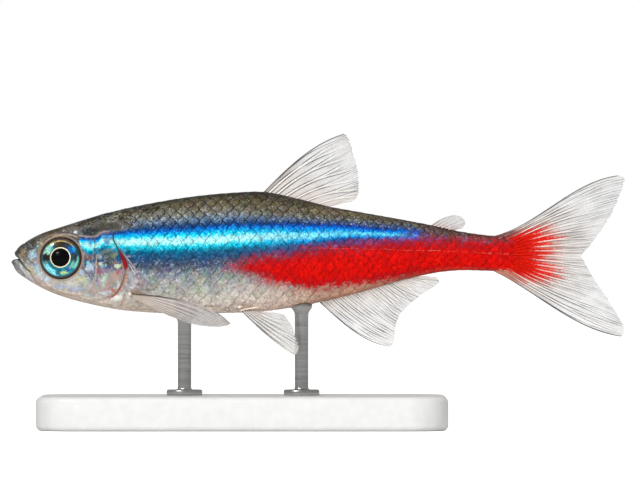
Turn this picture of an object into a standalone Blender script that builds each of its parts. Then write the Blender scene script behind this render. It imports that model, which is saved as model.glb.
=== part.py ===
# Neon tetra at life size, as a still model over a plain display stand.
# The fish faces -X with its back up, +Z. The origin is on the floor, under the middle of the model.
# Sizes and places are in millimetres until place() turns them to Blender's metres.
# Along the fish a place is (s, h): s back from the tip of the lower jaw, h above the body axis.

import math

import bmesh
import bpy
from mathutils import Matrix, Vector

MM = 0.001

# Driving dimensions
TOTAL_LENGTH = 36.0
FLESH_LENGTH = 30.1
AXIS_HEIGHT = 11.1
GAP = 0.25

# The body: place along it, back, belly, half width, and squareness of the section (2 is an ellipse)
BODY = (
    (0.00, -0.74, -1.64, 0.50, 2.3),
    (0.60, -0.25, -2.11, 0.74, 2.5),
    (1.64, 0.34, -2.75, 1.12, 2.8),
    (2.87, 0.76, -3.28, 1.42, 3.0),
    (4.45, 1.26, -3.72, 1.62, 2.7),
    (6.32, 1.80, -4.09, 1.74, 2.4),
    (8.66, 2.28, -4.28, 1.80, 2.2),
    (11.00, 2.63, -4.32, 1.82, 2.2),
    (13.35, 2.83, -4.29, 1.79, 2.2),
    (14.87, 2.84, -4.20, 1.73, 2.2),
    (16.86, 2.43, -3.91, 1.60, 2.2),
    (18.61, 1.99, -3.54, 1.42, 2.2),
    (20.37, 1.67, -3.10, 1.20, 2.2),
    (22.71, 1.25, -2.43, 0.92, 2.2),
    (24.76, 0.86, -1.96, 0.70, 2.2),
    (26.22, 0.53, -1.81, 0.58, 2.2),
    (27.69, 0.32, -1.83, 0.48, 2.3),
    (28.86, 0.21, -1.86, 0.42, 2.4),
    (30.10, 0.04, -1.80, 0.34, 2.6),
)
SNOUT_ROUND = 0.35
TAIL_ROUND = 0.55
BODY_AROUND = 40
BODY_ALONG = 56

# Where the body is parted. The gill line is given as height and place, from the belly up.
GILL_LINE = (
    (-4.60, 4.78),
    (-3.75, 5.15),
    (-3.42, 5.62),
    (-3.07, 6.20),
    (-2.58, 6.61),
    (-1.87, 6.76),
    (-1.29, 6.67),
    (-0.59, 6.32),
    (0.18, 5.99),
    (0.88, 6.08),
    (2.60, 6.45),
)
GILL_LINE_POINTS = 22
STALK_CUT = 24.55
MOUTH_LINE = ((-0.40, -0.90), (0.29, -1.08), (0.70, -1.46), (1.11, -1.96), (1.52, -2.40), (1.76, -3.20))
BEYOND = 6.0

# The eye: its middle, the seat of its rim, and how it is turned
EYE_PLACE = (2.87, -1.05)
EYE_SEAT = 1.25
EYE_RADIUS = 1.22
EYE_DEPTH = 0.72
EYE_YAW = math.radians(9)
EYE_PITCH = math.radians(3)
EYE_FRONT = ((0.0, 0.31), (0.28, 0.29), (0.48, 0.24), (0.60, 0.15), (0.90, 0.11), (1.12, 0.0))
EYE_BACK_ANGLES = (8, 30, 52, 74, 90)
ORBIT_RIM = 0.15
EYE_STEPS = 28

# Lips, nostrils, and the raised lower edge of the cheek
LIP_RADIUS = 0.14
UPPER_LIP_FRONT = (0.25, -0.82)
LOWER_LIP_FRONT = (0.15, -1.38)
NOSTRIL_PLACE = (1.17, -0.35)
NOSTRIL_RADIUS = 0.12
NOSTRIL_RIM = 0.24
NOSTRIL_YAW, NOSTRIL_PITCH = math.radians(24), math.radians(20)
CHEEK_EDGE = ((4.60, -1.60), (4.62, -2.15), (4.42, -2.72), (3.86, -3.04), (2.96, -3.02), (2.25, -2.78))
CHEEK_EDGE_RADIUS = 0.10
SUNK = 0.04

# The gill cover: height, front edge, rear edge
GILL_COVER = (
    (-3.28, 5.38, 5.70),
    (-3.05, 5.14, 6.00),
    (-2.55, 5.00, 6.38),
    (-1.90, 4.97, 6.56),
    (-1.30, 4.98, 6.49),
    (-0.80, 5.02, 6.26),
    (-0.42, 5.14, 5.98),
    (-0.22, 5.34, 5.70),
)
GILL_COVER_THICK = 0.55
GILL_COVER_PROUD = 0.10
POCKET_TOP = 0.60
POCKET_BEHIND = 1.0

# Fins: half thickness of the sheet at root and margin, height of a ray on it, and rounding of its edges
SHEET_HALF = 0.25
MARGIN_HALF = 0.14
RAY_RIDGE = 0.06
THIN_FROM = 0.7
FIN_ROWS = (0.0, 0.16, 0.32, 0.48, 0.64, 0.78, 0.9, 1.0)
EDGE_ROUND = 0.05
TIP_ROUND = 0.015
DORSAL_RAYS, ANAL_RAYS, LOBE_RAYS, PECTORAL_RAYS, PELVIC_RAYS, ADIPOSE_FOLDS = 11, 20, 10, 11, 8, 5

# A fin's base, and its tips: share of the way along the base, place of the ray's tip, angles at root and tip
DORSAL_BASE = (14.95, 18.60)
DORSAL_TIPS = (
    (0.00, 19.45, 6.23, 46, 5),
    (0.25, 19.92, 5.50, 42, 20),
    (0.50, 20.22, 4.21, 36, 18),
    (0.75, 20.32, 3.04, 26, 8),
    (1.00, 19.98, 2.28, 4, 8),
)
ADIPOSE_BASE = (24.70, 25.80)
ADIPOSE_TIPS = (
    (0.00, 25.90, 1.46, 40, 8),
    (0.33, 26.30, 1.36, 34, 8),
    (0.67, 26.55, 1.02, 22, 2),
    (1.00, 26.34, 0.68, 4, -6),
)
ANAL_BASE = (18.10, 23.80)
ANAL_TIPS = (
    (0.00, 22.38, -6.25, -42, -8),
    (0.25, 22.45, -5.40, -42, -28),
    (0.50, 22.78, -4.35, -38, -28),
    (0.75, 23.80, -3.32, -32, -26),
    (0.92, 24.80, -2.64, -22, -14),
    (1.00, 24.98, -2.40, -8, -12),
)
TAIL_TOP_BASE = (
    (0.00, 28.75, 0.47),
    (0.25, 29.75, 0.36),
    (0.50, 30.38, 0.04),
    (0.75, 30.42, -0.36),
    (1.00, 30.42, -0.72),
)
TAIL_TOP_TIPS = (
    (0.00, 35.66, 3.80, 20, 4),
    (0.06, 35.92, 3.62, 22, 8),
    (0.25, 35.62, 2.58, 28, 14),
    (0.50, 34.95, 1.23, 24, 14),
    (0.75, 34.07, -0.06, 10, 8),
    (1.00, 33.25, -0.72, 0, 0),
)
TAIL_LOW_BASE = (
    (0.00, 28.75, -2.13),
    (0.25, 29.75, -2.10),
    (0.50, 30.38, -1.80),
    (0.75, 30.42, -1.38),
    (1.00, 30.42, -1.02),
)
TAIL_LOW_TIPS = (
    (0.00, 35.78, -5.67, -28, -6),
    (0.12, 35.98, -5.46, -30, -14),
    (0.25, 35.70, -4.80, -32, -24),
    (0.50, 34.83, -3.40, -28, -22),
    (0.75, 33.89, -1.93, -16, -12),
    (1.00, 33.25, -1.05, -1, 0),
)
PECTORAL_BASE = ((0.0, 7.10, -3.14), (1.0, 7.14, -3.44))
PECTORAL_TIPS = (
    (0.00, 12.84, -5.00, -5, -40),
    (0.33, 12.16, -5.10, -14, -24),
    (0.67, 10.77, -4.97, -22, -22),
    (1.00, 9.25, -4.45, -28, -24),
)
PELVIC_BASE = ((0.0, 13.52, -4.34), (1.0, 14.05, -4.34))
PELVIC_TIPS = (
    (0.00, 16.62, -6.76, -46, -28),
    (0.33, 16.82, -6.36, -40, -32),
    (0.67, 16.55, -5.44, -30, -24),
    (0.85, 16.30, -4.86, -20, -12),
    (1.00, 15.85, -4.40, -6, 4),
)
# How far a paired fin stands out at its root, and its lean outward for each millimetre back and down
PECTORAL_OUT, PECTORAL_LEAN = 1.86, (0.20, 0.05)
PELVIC_OUT, PELVIC_LEAN = 0.62, (0.05, 0.42)

# The stand
BASE_SIZE = (24.0, 13.0, 2.0)
BASE_MIDDLE = 13.50
BASE_CORNER, BASE_CORNER_STEPS = 2.5, 6
BASE_EDGE, BASE_EDGE_STEPS = 0.35, 2
ROD_PLACES = {"front": 10.10, "rear": 16.95}
ROD_RADIUS = 0.40
ROD_FOOT_RADIUS, ROD_FOOT_HEIGHT, ROD_FOOT_FILLET = 1.05, 0.35, 0.12
SADDLE_RADIUS, SADDLE_HEIGHT = 0.62, 0.60
ROD_STEPS = 24


def place(s, y, h):
    """A place on the fish as a point of the model, in metres."""
    return Vector((s - TOTAL_LENGTH / 2, y, h + AXIS_HEIGHT)) * MM


def smooth(table, at, column=1):
    """A column of the table at this place, on a smooth curve through its rows."""
    last = len(table) - 1
    at = min(max(at, table[0][0]), table[last][0])
    low = max(row for row in range(last) if table[row][0] <= at)

    def slope(row):
        before, after = table[max(row - 1, 0)], table[min(row + 1, last)]
        return (after[column] - before[column]) / (after[0] - before[0])

    span = table[low + 1][0] - table[low][0]
    t = (at - table[low][0]) / span
    return (
        (2 * t**3 - 3 * t**2 + 1) * table[low][column]
        + (t**3 - 2 * t**2 + t) * span * slope(low)
        + (3 * t**2 - 2 * t**3) * table[low + 1][column]
        + (t**3 - t**2) * span * slope(low + 1)
    )


def section(s):
    """Middle height, half height, half width and squareness of the body at s."""
    back, belly, half, square = (smooth(BODY, s, column) for column in (1, 2, 3, 4))
    from_end = min(s / SNOUT_ROUND, (FLESH_LENGTH - s) / TAIL_ROUND, 1.0)
    blunt = math.sqrt(max(0.0, 1.0 - (1.0 - from_end) ** 2))
    return (back + belly) / 2, blunt * (back - belly) / 2, blunt * half, square


def flank(s, h):
    """How far the side of the body stands from the middle plane at (s, h)."""
    middle, height, width, square = section(s)
    share = min(abs(h - middle) / max(height, 1e-6), 1.0)
    return width * (1.0 - share**square) ** (1.0 / square)


def belly_under(s, y):
    """Height of the belly's skin at s, this far out from the middle plane."""
    middle, height, width, square = section(s)
    return middle - height * (1.0 - min(abs(y) / width, 1.0) ** square) ** (1.0 / square)


def clear_scene():
    for obj in list(bpy.data.objects):
        bpy.data.objects.remove(obj, do_unlink=True)


def new_collection(name):
    collection = bpy.data.collections.new(name)
    bpy.context.scene.collection.children.link(collection)
    return collection


def material(name, colour, roughness, metallic=0.0, alpha=1.0):
    made = bpy.data.materials.new(name)
    made.use_nodes = True
    shader = made.node_tree.nodes["Principled BSDF"]
    shader.inputs["Base Color"].default_value = (*colour, 1.0)
    shader.inputs["Roughness"].default_value = roughness
    shader.inputs["Metallic"].default_value = metallic
    shader.inputs["Alpha"].default_value = alpha
    return made


def new_object(name, mesh, finish, collection):
    """An object from a bmesh, in this finish and collection."""
    data = bpy.data.meshes.new(name)
    mesh.to_mesh(data)
    mesh.free()
    if finish is not None:
        data.materials.append(finish)
    obj = bpy.data.objects.new(name, data)
    collection.objects.link(obj)
    return obj


def as_cutter(obj):
    obj.hide_render = True
    obj.display_type = "WIRE"
    return obj


def point_outward(mesh):
    """Turns the faces of one closed surface outward."""
    bmesh.ops.recalc_face_normals(mesh, faces=mesh.faces)
    if mesh.calc_volume(signed=True) < 0:
        bmesh.ops.reverse_faces(mesh, faces=mesh.faces)


def evaluated_mesh(obj):
    bpy.context.view_layer.update()
    graph = bpy.context.evaluated_depsgraph_get()
    return bpy.data.meshes.new_from_object(obj.evaluated_get(graph))


def shells_of(mesh):
    """The separate surfaces of a bmesh, as lists of faces."""
    left, found = set(mesh.faces), []
    while left:
        shell, ahead = [], [left.pop()]
        while ahead:
            face = ahead.pop()
            shell.append(face)
            for edge in face.edges:
                for other in edge.link_faces:
                    if other in left:
                        left.remove(other)
                        ahead.append(other)
        found.append(shell)
    return found


def shell_volume(shell):
    """Six times the volume that the faces enclose."""
    total = 0.0
    for face in shell:
        corners = [vertex.co for vertex in face.verts]
        for second, third in zip(corners[1:-1], corners[2:]):
            total += corners[0].dot(second.cross(third))
    return abs(total)


def settle(obj):
    """Applies the modifiers and keeps only the largest closed surface."""
    finish = obj.data.materials[0] if obj.data.materials else None
    mesh = bmesh.new()
    mesh.from_mesh(evaluated_mesh(obj))
    obj.modifiers.clear()
    bmesh.ops.remove_doubles(mesh, verts=mesh.verts, dist=0.002 * MM)
    shells = sorted(shells_of(mesh), key=shell_volume)
    for shell in shells[:-1]:
        bmesh.ops.delete(mesh, geom=shell, context="FACES")
    bmesh.ops.triangulate(mesh, faces=mesh.faces)
    point_outward(mesh)
    for face in mesh.faces:
        face.material_index = 0
    mesh.to_mesh(obj.data)
    mesh.free()
    obj.data.materials.clear()
    if finish is not None:
        obj.data.materials.append(finish)
    return obj


def boolean(obj, operation, other):
    """A Boolean of the object with another object, or with all objects of a collection."""
    modifier = obj.modifiers.new(operation.title(), "BOOLEAN")
    modifier.operation = operation
    modifier.solver = "EXACT"
    if isinstance(other, bpy.types.Collection):
        modifier.operand_type = "COLLECTION"
        modifier.collection = other
    else:
        modifier.object = other


def fuse_details(obj, details):
    """Joins the objects of the details collection to this one, and removes them."""
    boolean(obj, "UNION", details)
    settle(obj)
    for piece in list(details.objects):
        bpy.data.objects.remove(piece, do_unlink=True)


def body_solid(name, finish, collection, lift=0.0):
    """The whole body: a sphere whose poles become the snout and the end of the tail stalk."""
    mesh = bmesh.new()
    bmesh.ops.create_uvsphere(mesh, u_segments=BODY_AROUND, v_segments=BODY_ALONG, radius=1.0)
    for vertex in mesh.verts:
        s = FLESH_LENGTH * (1.0 - vertex.co.z) / 2
        ring = math.hypot(vertex.co.x, vertex.co.y)
        middle, height, width, square = section(s)
        y = h = 0.0
        if ring > 1e-6:
            across, up = vertex.co.x / ring, vertex.co.y / ring
            y = math.copysign(abs(across) ** (2 / square), across) * (width + lift)
            h = math.copysign(abs(up) ** (2 / square), up) * (height + lift)
        vertex.co = place(s, y, middle + h)
    point_outward(mesh)
    return new_object(name, mesh, finish, collection)


def offset_line(line, distance):
    """The line moved to its left by a distance, point by point."""
    moved = []
    for i, point in enumerate(line):
        before, after = Vector(line[max(i - 1, 0)]), Vector(line[min(i + 1, len(line) - 1)])
        along = (after - before).normalized()
        moved.append((point[0] - along.y * distance, point[1] + along.x * distance))
    return moved


def gill_line():
    """The gill line as (s, h), from the back down to the belly."""
    low, high = GILL_LINE[0][0], GILL_LINE[-1][0]
    heights = [high + (low - high) * i / (GILL_LINE_POINTS - 1) for i in range(GILL_LINE_POINTS)]
    return [(smooth(GILL_LINE, h), h) for h in heights]


def mesh_from_curve(curve_object, collection):
    """Turns a curve object to a mesh object with welded caps, in the same place."""
    name, data = curve_object.name, evaluated_mesh(curve_object)
    world = curve_object.matrix_world.copy()
    bpy.data.objects.remove(curve_object, do_unlink=True)
    mesh = bmesh.new()
    mesh.from_mesh(data)
    bmesh.ops.remove_doubles(mesh, verts=mesh.verts, dist=0.001 * MM)
    point_outward(mesh)
    made = new_object(name, mesh, None, collection)
    made.matrix_world = world
    return made


def poly_curve(name, points, collection):
    """A curve object whose one spline runs straight from point to point."""
    curve = bpy.data.curves.new(name, "CURVE")
    spline = curve.splines.new("POLY")
    spline.points.add(len(points) - 1)
    for point, at in zip(spline.points, points):
        point.co = (*at, 1.0)
    made = bpy.data.objects.new(name, curve)
    collection.objects.link(made)
    return made


def slab(name, outline, collection):
    """A cutter: an outline of the side view, carried straight across the fish."""
    corners = [place(s, 0.0, h) for s, h in outline]
    flat = poly_curve(name, [(at.x, at.z, 0.0) for at in corners], collection)
    flat.data.dimensions = "2D"
    flat.data.fill_mode = "BOTH"
    flat.data.splines[0].use_cyclic_u = True
    flat.data.extrude = BEYOND * MM
    flat.rotation_euler = (math.radians(90), 0.0, 0.0)
    return as_cutter(mesh_from_curve(flat, collection))


def bar(name, points, radius, collection):
    """A round bar through points of the model, with closed ends."""
    line = poly_curve(name, points, collection)
    line.data.dimensions = "3D"
    line.data.bevel_depth = radius * MM
    line.data.bevel_resolution = 2
    line.data.use_fill_caps = True
    return mesh_from_curve(line, collection)


def turned(name, profile, steps, finish, collection):
    """A profile of (radius, height), from the top of the axis down to its foot, turned about Z."""
    mesh = bmesh.new()
    corners = [mesh.verts.new((radius * MM, 0.0, height * MM)) for radius, height in profile]
    for first, second in zip(corners, corners[1:]):
        mesh.edges.new((first, second))
    obj = new_object(name, mesh, finish, collection)
    screw = obj.modifiers.new("Turn", "SCREW")
    screw.angle = math.radians(360)
    screw.steps = screw.render_steps = steps
    screw.use_merge_vertices = True
    screw.merge_threshold = 0.001 * MM
    return obj


def face_outward(obj, at, side, yaw, pitch):
    """Puts an object there with its own Z pointing out of that side of the head."""
    s, y, h = at
    obj.location = place(s, side * y, h)
    outward = Vector((-math.sin(yaw), side * math.cos(yaw), math.tan(pitch)))
    obj.rotation_euler = outward.to_track_quat("Z", "Y").to_euler()
    return settle(obj)


def eye_piece(name, profile, side, finish, collection):
    """A turned piece that sits in the head where the eye does."""
    piece = turned(name, profile, EYE_STEPS, finish, collection)
    return face_outward(piece, (EYE_PLACE[0], EYE_SEAT, EYE_PLACE[1]), side, EYE_YAW, EYE_PITCH)


def eye_back(grow):
    """The buried back of an eyeball, as a quarter of an ellipse, or of its socket."""
    angles = [math.radians(angle) for angle in EYE_BACK_ANGLES]
    radius, depth = EYE_RADIUS + grow, EYE_DEPTH + grow
    back = [(radius * math.cos(angle), -depth * math.sin(angle)) for angle in angles[:-1]]
    return [*back, (0.0, -depth)]


def eyeball(name, side, finish, collection):
    """A flat iris with the lens of the pupil standing out of it."""
    return eye_piece(name, [*EYE_FRONT, *eye_back(0.0)], side, finish, collection)


def eye_socket(side, collection):
    """The room for an eyeball, open to the outside."""
    mouth = EYE_RADIUS + GAP
    profile = [(0.0, 1.5), (mouth, 1.5), *eye_back(GAP)]
    return as_cutter(eye_piece("eye_socket", profile, side, None, collection))


def orbit_rim(side, collection):
    """The low rim of the orbit, which stands round the eye."""
    outer = EYE_RADIUS + GAP + ORBIT_RIM
    profile = [
        (0.0, 0.02),
        (outer - 0.10, 0.02),
        (outer - 0.02, -0.04),
        (outer + 0.03, -0.14),
        (outer + 0.06, -0.60),
        (0.0, -0.60),
    ]
    return eye_piece("orbit_rim", profile, side, None, collection)


def nostril_piece(name, profile, side, collection):
    s, h = NOSTRIL_PLACE
    piece = turned(name, profile, 12, None, collection)
    return face_outward(piece, (s, flank(s, h) - 0.02, h), side, NOSTRIL_YAW, NOSTRIL_PITCH)


def nostril_rim(side, collection):
    profile = [(0.0, 0.05), (NOSTRIL_RIM - 0.05, 0.05), (NOSTRIL_RIM, 0.0), (NOSTRIL_RIM, -0.3), (0.0, -0.3)]
    return nostril_piece("nostril_rim", profile, side, collection)


def nostril_pit(side, collection):
    profile = [(0.0, 0.5), (NOSTRIL_RADIUS, 0.5), (NOSTRIL_RADIUS, -0.14), (0.0, -0.2)]
    return as_cutter(nostril_piece("nostril_pit", profile, side, collection))


def skin_line(line, side):
    """Points of the model along a line of the side view, sunk a little in the skin of that side."""
    return [place(s, side * (flank(s, h) - SUNK), h) for s, h in line]


def lip(front, away, collection):
    """A lip: one bar from a corner of the mouth, round the snout, to the other corner."""
    line = offset_line(MOUTH_LINE, away)[1:-1]
    points = [*reversed(skin_line(line, -1)), place(front[0], 0.0, front[1]), *skin_line(line, 1)]
    return bar("lip", points, LIP_RADIUS, collection)


def side_plate(name, side, grow, top, bottom, finish, collection, rear_extra=0.0):
    """A plate of the gill cover's outline over the flank, between two heights over the skin."""
    low, high = GILL_COVER[0][0] - grow, GILL_COVER[-1][0] + grow
    mesh = bmesh.new()
    bmesh.ops.create_grid(mesh, x_segments=6, y_segments=14, size=1.0)
    for vertex in mesh.verts:
        h = low + (high - low) * (vertex.co.y + 1) / 2
        front = smooth(GILL_COVER, h, 1) - grow
        rear = smooth(GILL_COVER, h, 2) + grow + rear_extra
        s = front + (rear - front) * (vertex.co.x + 1) / 2
        vertex.co = place(s, side * (flank(s, h) + top), h)
    mesh.normal_update()
    if sum(face.normal.y for face in mesh.faces) * side < 0:
        bmesh.ops.reverse_faces(mesh, faces=mesh.faces)
    plate = new_object(name, mesh, finish, collection)
    solidify = plate.modifiers.new("Thickness", "SOLIDIFY")
    solidify.thickness = (top - bottom) * MM
    solidify.offset = -1.0
    return settle(plate)


def gill_cover(name, side, finish, collection):
    inner = GILL_COVER_PROUD - GILL_COVER_THICK
    return side_plate(name, side, 0.0, GILL_COVER_PROUD, inner, finish, collection)


def gill_pocket(side, collection):
    """The room that the gill cover lies in, open to the outside and to the rear."""
    floor = GILL_COVER_PROUD - GILL_COVER_THICK - GAP
    pocket = side_plate("gill_pocket", side, GAP, POCKET_TOP, floor, None, collection, POCKET_BEHIND)
    return as_cutter(pocket)


def head(finish, collection, cutters, details):
    """The head without its lower jaw, with rims, lips and cheeks raised on it and its openings cut."""
    behind = offset_line(gill_line(), -GAP / 2)
    head_zone = slab("head_zone", [(-BEYOND, BEYOND), *behind, (-BEYOND, -BEYOND)], cutters)
    jaw_room = slab("jaw_room", jaw_outline(GAP / 2), cutters)

    obj = body_solid("head", finish, collection)
    boolean(obj, "INTERSECT", head_zone)
    settle(obj)
    lip(UPPER_LIP_FRONT, GAP / 2 + LIP_RADIUS, details)
    for side in (-1, 1):
        orbit_rim(side, details)
        nostril_rim(side, details)
        bar("cheek_edge", skin_line(CHEEK_EDGE, side), CHEEK_EDGE_RADIUS, details)
    fuse_details(obj, details)

    boolean(obj, "DIFFERENCE", jaw_room)
    for side in (-1, 1):
        boolean(obj, "DIFFERENCE", gill_pocket(side, cutters))
        boolean(obj, "DIFFERENCE", eye_socket(side, cutters))
        boolean(obj, "DIFFERENCE", nostril_pit(side, cutters))
    return settle(obj)


def jaw_outline(away):
    """The side view of all that lies under the mouth line moved up by this much."""
    return [*offset_line(MOUTH_LINE, away), (-BEYOND, -BEYOND), (-BEYOND, MOUTH_LINE[0][1])]


def lower_jaw(finish, collection, cutters, details):
    jaw_zone = slab("jaw_zone", jaw_outline(-GAP / 2), cutters)
    obj = body_solid("lower_jaw", finish, collection)
    lip(LOWER_LIP_FRONT, -GAP / 2 - LIP_RADIUS, details)
    fuse_details(obj, details)
    boolean(obj, "INTERSECT", jaw_zone)
    return settle(obj)


def trunk(finish, collection, cutters):
    """The body from the gills to the end of the anal fin."""
    front, rear = offset_line(gill_line(), GAP / 2), STALK_CUT - GAP / 2
    zone = slab("trunk_zone", [*front, (rear, -BEYOND), (rear, BEYOND)], cutters)
    obj = body_solid("trunk", finish, collection)
    boolean(obj, "INTERSECT", zone)
    return settle(obj)


def tail_stalk(finish, collection, cutters):
    """The narrow end of the body, which carries the tail fin."""
    front, rear = STALK_CUT + GAP / 2, FLESH_LENGTH + BEYOND
    zone = slab("stalk_zone", [(front, BEYOND), (front, -BEYOND), (rear, -BEYOND), (rear, BEYOND)], cutters)
    obj = body_solid("tail_stalk", finish, collection)
    boolean(obj, "INTERSECT", zone)
    return settle(obj)


def toward(degrees):
    angle = math.radians(degrees)
    return Vector((math.cos(angle), math.sin(angle)))


def ray_point(root, tips, v, u):
    """A point of the fin's ray v, at share u of its length, as a smooth arc from root to tip."""
    tip_s, tip_h, start, end = (smooth(tips, v, column) for column in (1, 2, 3, 4))
    root, tip = Vector(root), Vector((tip_s, tip_h))
    length = (tip - root).length
    return (
        root * (2 * u**3 - 3 * u**2 + 1)
        + toward(start) * length * (u**3 - 2 * u**2 + u)
        + tip * (3 * u**2 - 2 * u**3)
        + toward(end) * length * (u**3 - u**2)
    )


def shape_half_fin(mesh, root_at, tips, rays):
    """Shapes a grid to one face of a fin, with a ridge for each ray, and its edges at the middle plane."""
    columns, rows = 2 * rays - 1, len(FIN_ROWS)
    bmesh.ops.create_grid(mesh, x_segments=columns + 1, y_segments=rows + 1, size=1.0)
    for vertex in mesh.verts:
        i = round((vertex.co.x + 1) / 2 * (columns + 1))
        j = round((vertex.co.y + 1) / 2 * (rows + 1))
        column, row = min(max(i - 1, 0), columns - 1), min(max(j - 1, 0), rows - 1)
        on_side, on_end = i in (0, columns + 1), j in (0, rows + 1)
        v, u = column / (columns - 1), FIN_ROWS[row]
        if j == rows + 1:
            u += TIP_ROUND
        at = ray_point(root_at(v), tips, v, u)
        if on_side:
            inward = 0.02 if i == 0 else 0.98
            at += (at - ray_point(root_at(inward), tips, inward, u)).normalized() * EDGE_ROUND
        thin = max((u - THIN_FROM) / (1 - THIN_FROM), 0.0)
        half = SHEET_HALF + (MARGIN_HALF - SHEET_HALF) * min(thin, 1.0)
        if column % 2 == 0:
            half += RAY_RIDGE * (1 - u / 2)
        vertex.co = (at.x, 0.0 if on_side or on_end else half, at.y)


def fin(name, root_at, tips, rays, finish, collection, side=1, out=0.0, lean=(0.0, 0.0)):
    """A fin as one closed sheet. A paired fin stands out from the body and leans away from it."""
    mesh = bmesh.new()
    shape_half_fin(mesh, root_at, tips, rays)
    bmesh.ops.remove_doubles(mesh, verts=mesh.verts, dist=0.002)
    bmesh.ops.triangulate(mesh, faces=mesh.faces, quad_method="FIXED")
    flat = [face for face in mesh.faces if all(abs(vertex.co.y) < 0.001 for vertex in face.verts)]
    bmesh.ops.delete(mesh, geom=flat, context="FACES")
    whole = mesh.verts[:] + mesh.edges[:] + mesh.faces[:]
    bmesh.ops.mirror(mesh, geom=whole, matrix=Matrix.Identity(4), merge_dist=0.001, axis="Y")
    root_s, root_h = root_at(0.0)
    for vertex in mesh.verts:
        s, y, h = vertex.co
        away = out + lean[0] * (s - root_s) + lean[1] * (root_h - h)
        vertex.co = place(s, side * (away + y), h)
    point_outward(mesh)
    return new_object(name, mesh, finish, collection)


def along_body(base, column, away):
    """Roots of a fin along the back or the belly, this far from the skin."""
    def root_at(v):
        s = base[0] + (base[1] - base[0]) * v
        return s, smooth(BODY, s, column) + away
    return root_at


def along_table(table):
    """Roots of a fin on a smooth curve through a table's places."""
    return lambda v: (smooth(table, v, 1), smooth(table, v, 2))


def middle_fins(finish, tail_finish, collection):
    """The fins on the middle plane. They lie in it, clear of the skin by the gap."""
    dorsal, adipose = along_body(DORSAL_BASE, 1, GAP), along_body(ADIPOSE_BASE, 1, GAP)
    fin("dorsal_fin", dorsal, DORSAL_TIPS, DORSAL_RAYS, finish, collection)
    fin("adipose_fin", adipose, ADIPOSE_TIPS, ADIPOSE_FOLDS, finish, collection)
    fin("anal_fin", along_body(ANAL_BASE, 2, -GAP), ANAL_TIPS, ANAL_RAYS, finish, collection)
    fin("tail_fin_upper", along_table(TAIL_TOP_BASE), TAIL_TOP_TIPS, LOBE_RAYS, tail_finish, collection)
    fin("tail_fin_lower", along_table(TAIL_LOW_BASE), TAIL_LOW_TIPS, LOBE_RAYS, tail_finish, collection)


def paired_fins(side, word, finish, collection):
    """The pectoral and pelvic fins of one side."""
    fin(
        f"pectoral_fin_{word}", along_table(PECTORAL_BASE), PECTORAL_TIPS, PECTORAL_RAYS,
        finish, collection, side, PECTORAL_OUT, PECTORAL_LEAN,
    )
    fin(
        f"pelvic_fin_{word}", along_table(PELVIC_BASE), PELVIC_TIPS, PELVIC_RAYS,
        finish, collection, side, PELVIC_OUT, PELVIC_LEAN,
    )


def round_edges(mesh, edges, radius, steps):
    bmesh.ops.bevel(
        mesh, geom=edges, offset=radius * MM, offset_type="OFFSET", affect="EDGES",
        segments=steps, profile=0.5, material=-1,
    )


def stand_base(finish, collection):
    """A flat plate with round corners and a soft upper edge."""
    length, width, height = (size * MM for size in BASE_SIZE)
    mesh = bmesh.new()
    bmesh.ops.create_cube(mesh, size=1.0)
    bmesh.ops.scale(mesh, vec=(length, width, height), verts=mesh.verts)
    centre = place(BASE_MIDDLE, 0.0, -AXIS_HEIGHT) + Vector((0.0, 0.0, height / 2))
    bmesh.ops.translate(mesh, vec=centre, verts=mesh.verts)
    upright = [edge for edge in mesh.edges if abs(edge.verts[0].co.z - edge.verts[1].co.z) > height / 2]
    round_edges(mesh, upright, BASE_CORNER, BASE_CORNER_STEPS)
    top = [edge for edge in mesh.edges if min(vertex.co.z for vertex in edge.verts) > height * 0.99]
    round_edges(mesh, top, BASE_EDGE, BASE_EDGE_STEPS)
    return new_object("stand_base", mesh, finish, collection)


def stand_rod(name, s, belly_room, finish, collection):
    """A round rod with a foot on the base and a saddle that is cut to the belly."""
    foot = BASE_SIZE[2] + GAP - AXIS_HEIGHT
    belly = belly_under(s, 0.0)
    foot_top = foot + ROD_FOOT_HEIGHT
    saddle_low = belly - GAP - SADDLE_HEIGHT
    profile = [
        (0.0, belly + GAP),
        (SADDLE_RADIUS, belly + GAP),
        (SADDLE_RADIUS, saddle_low + SADDLE_HEIGHT * 0.6),
        (ROD_RADIUS, saddle_low),
        (ROD_RADIUS, foot_top + ROD_FOOT_FILLET),
        (ROD_FOOT_RADIUS, foot_top),
        (ROD_FOOT_RADIUS, foot),
        (0.0, foot),
    ]
    rod = turned(name, profile, ROD_STEPS, finish, collection)
    rod.location = place(s, 0.0, 0.0)
    settle(rod)
    boolean(rod, "DIFFERENCE", belly_room)
    return settle(rod)


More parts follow.
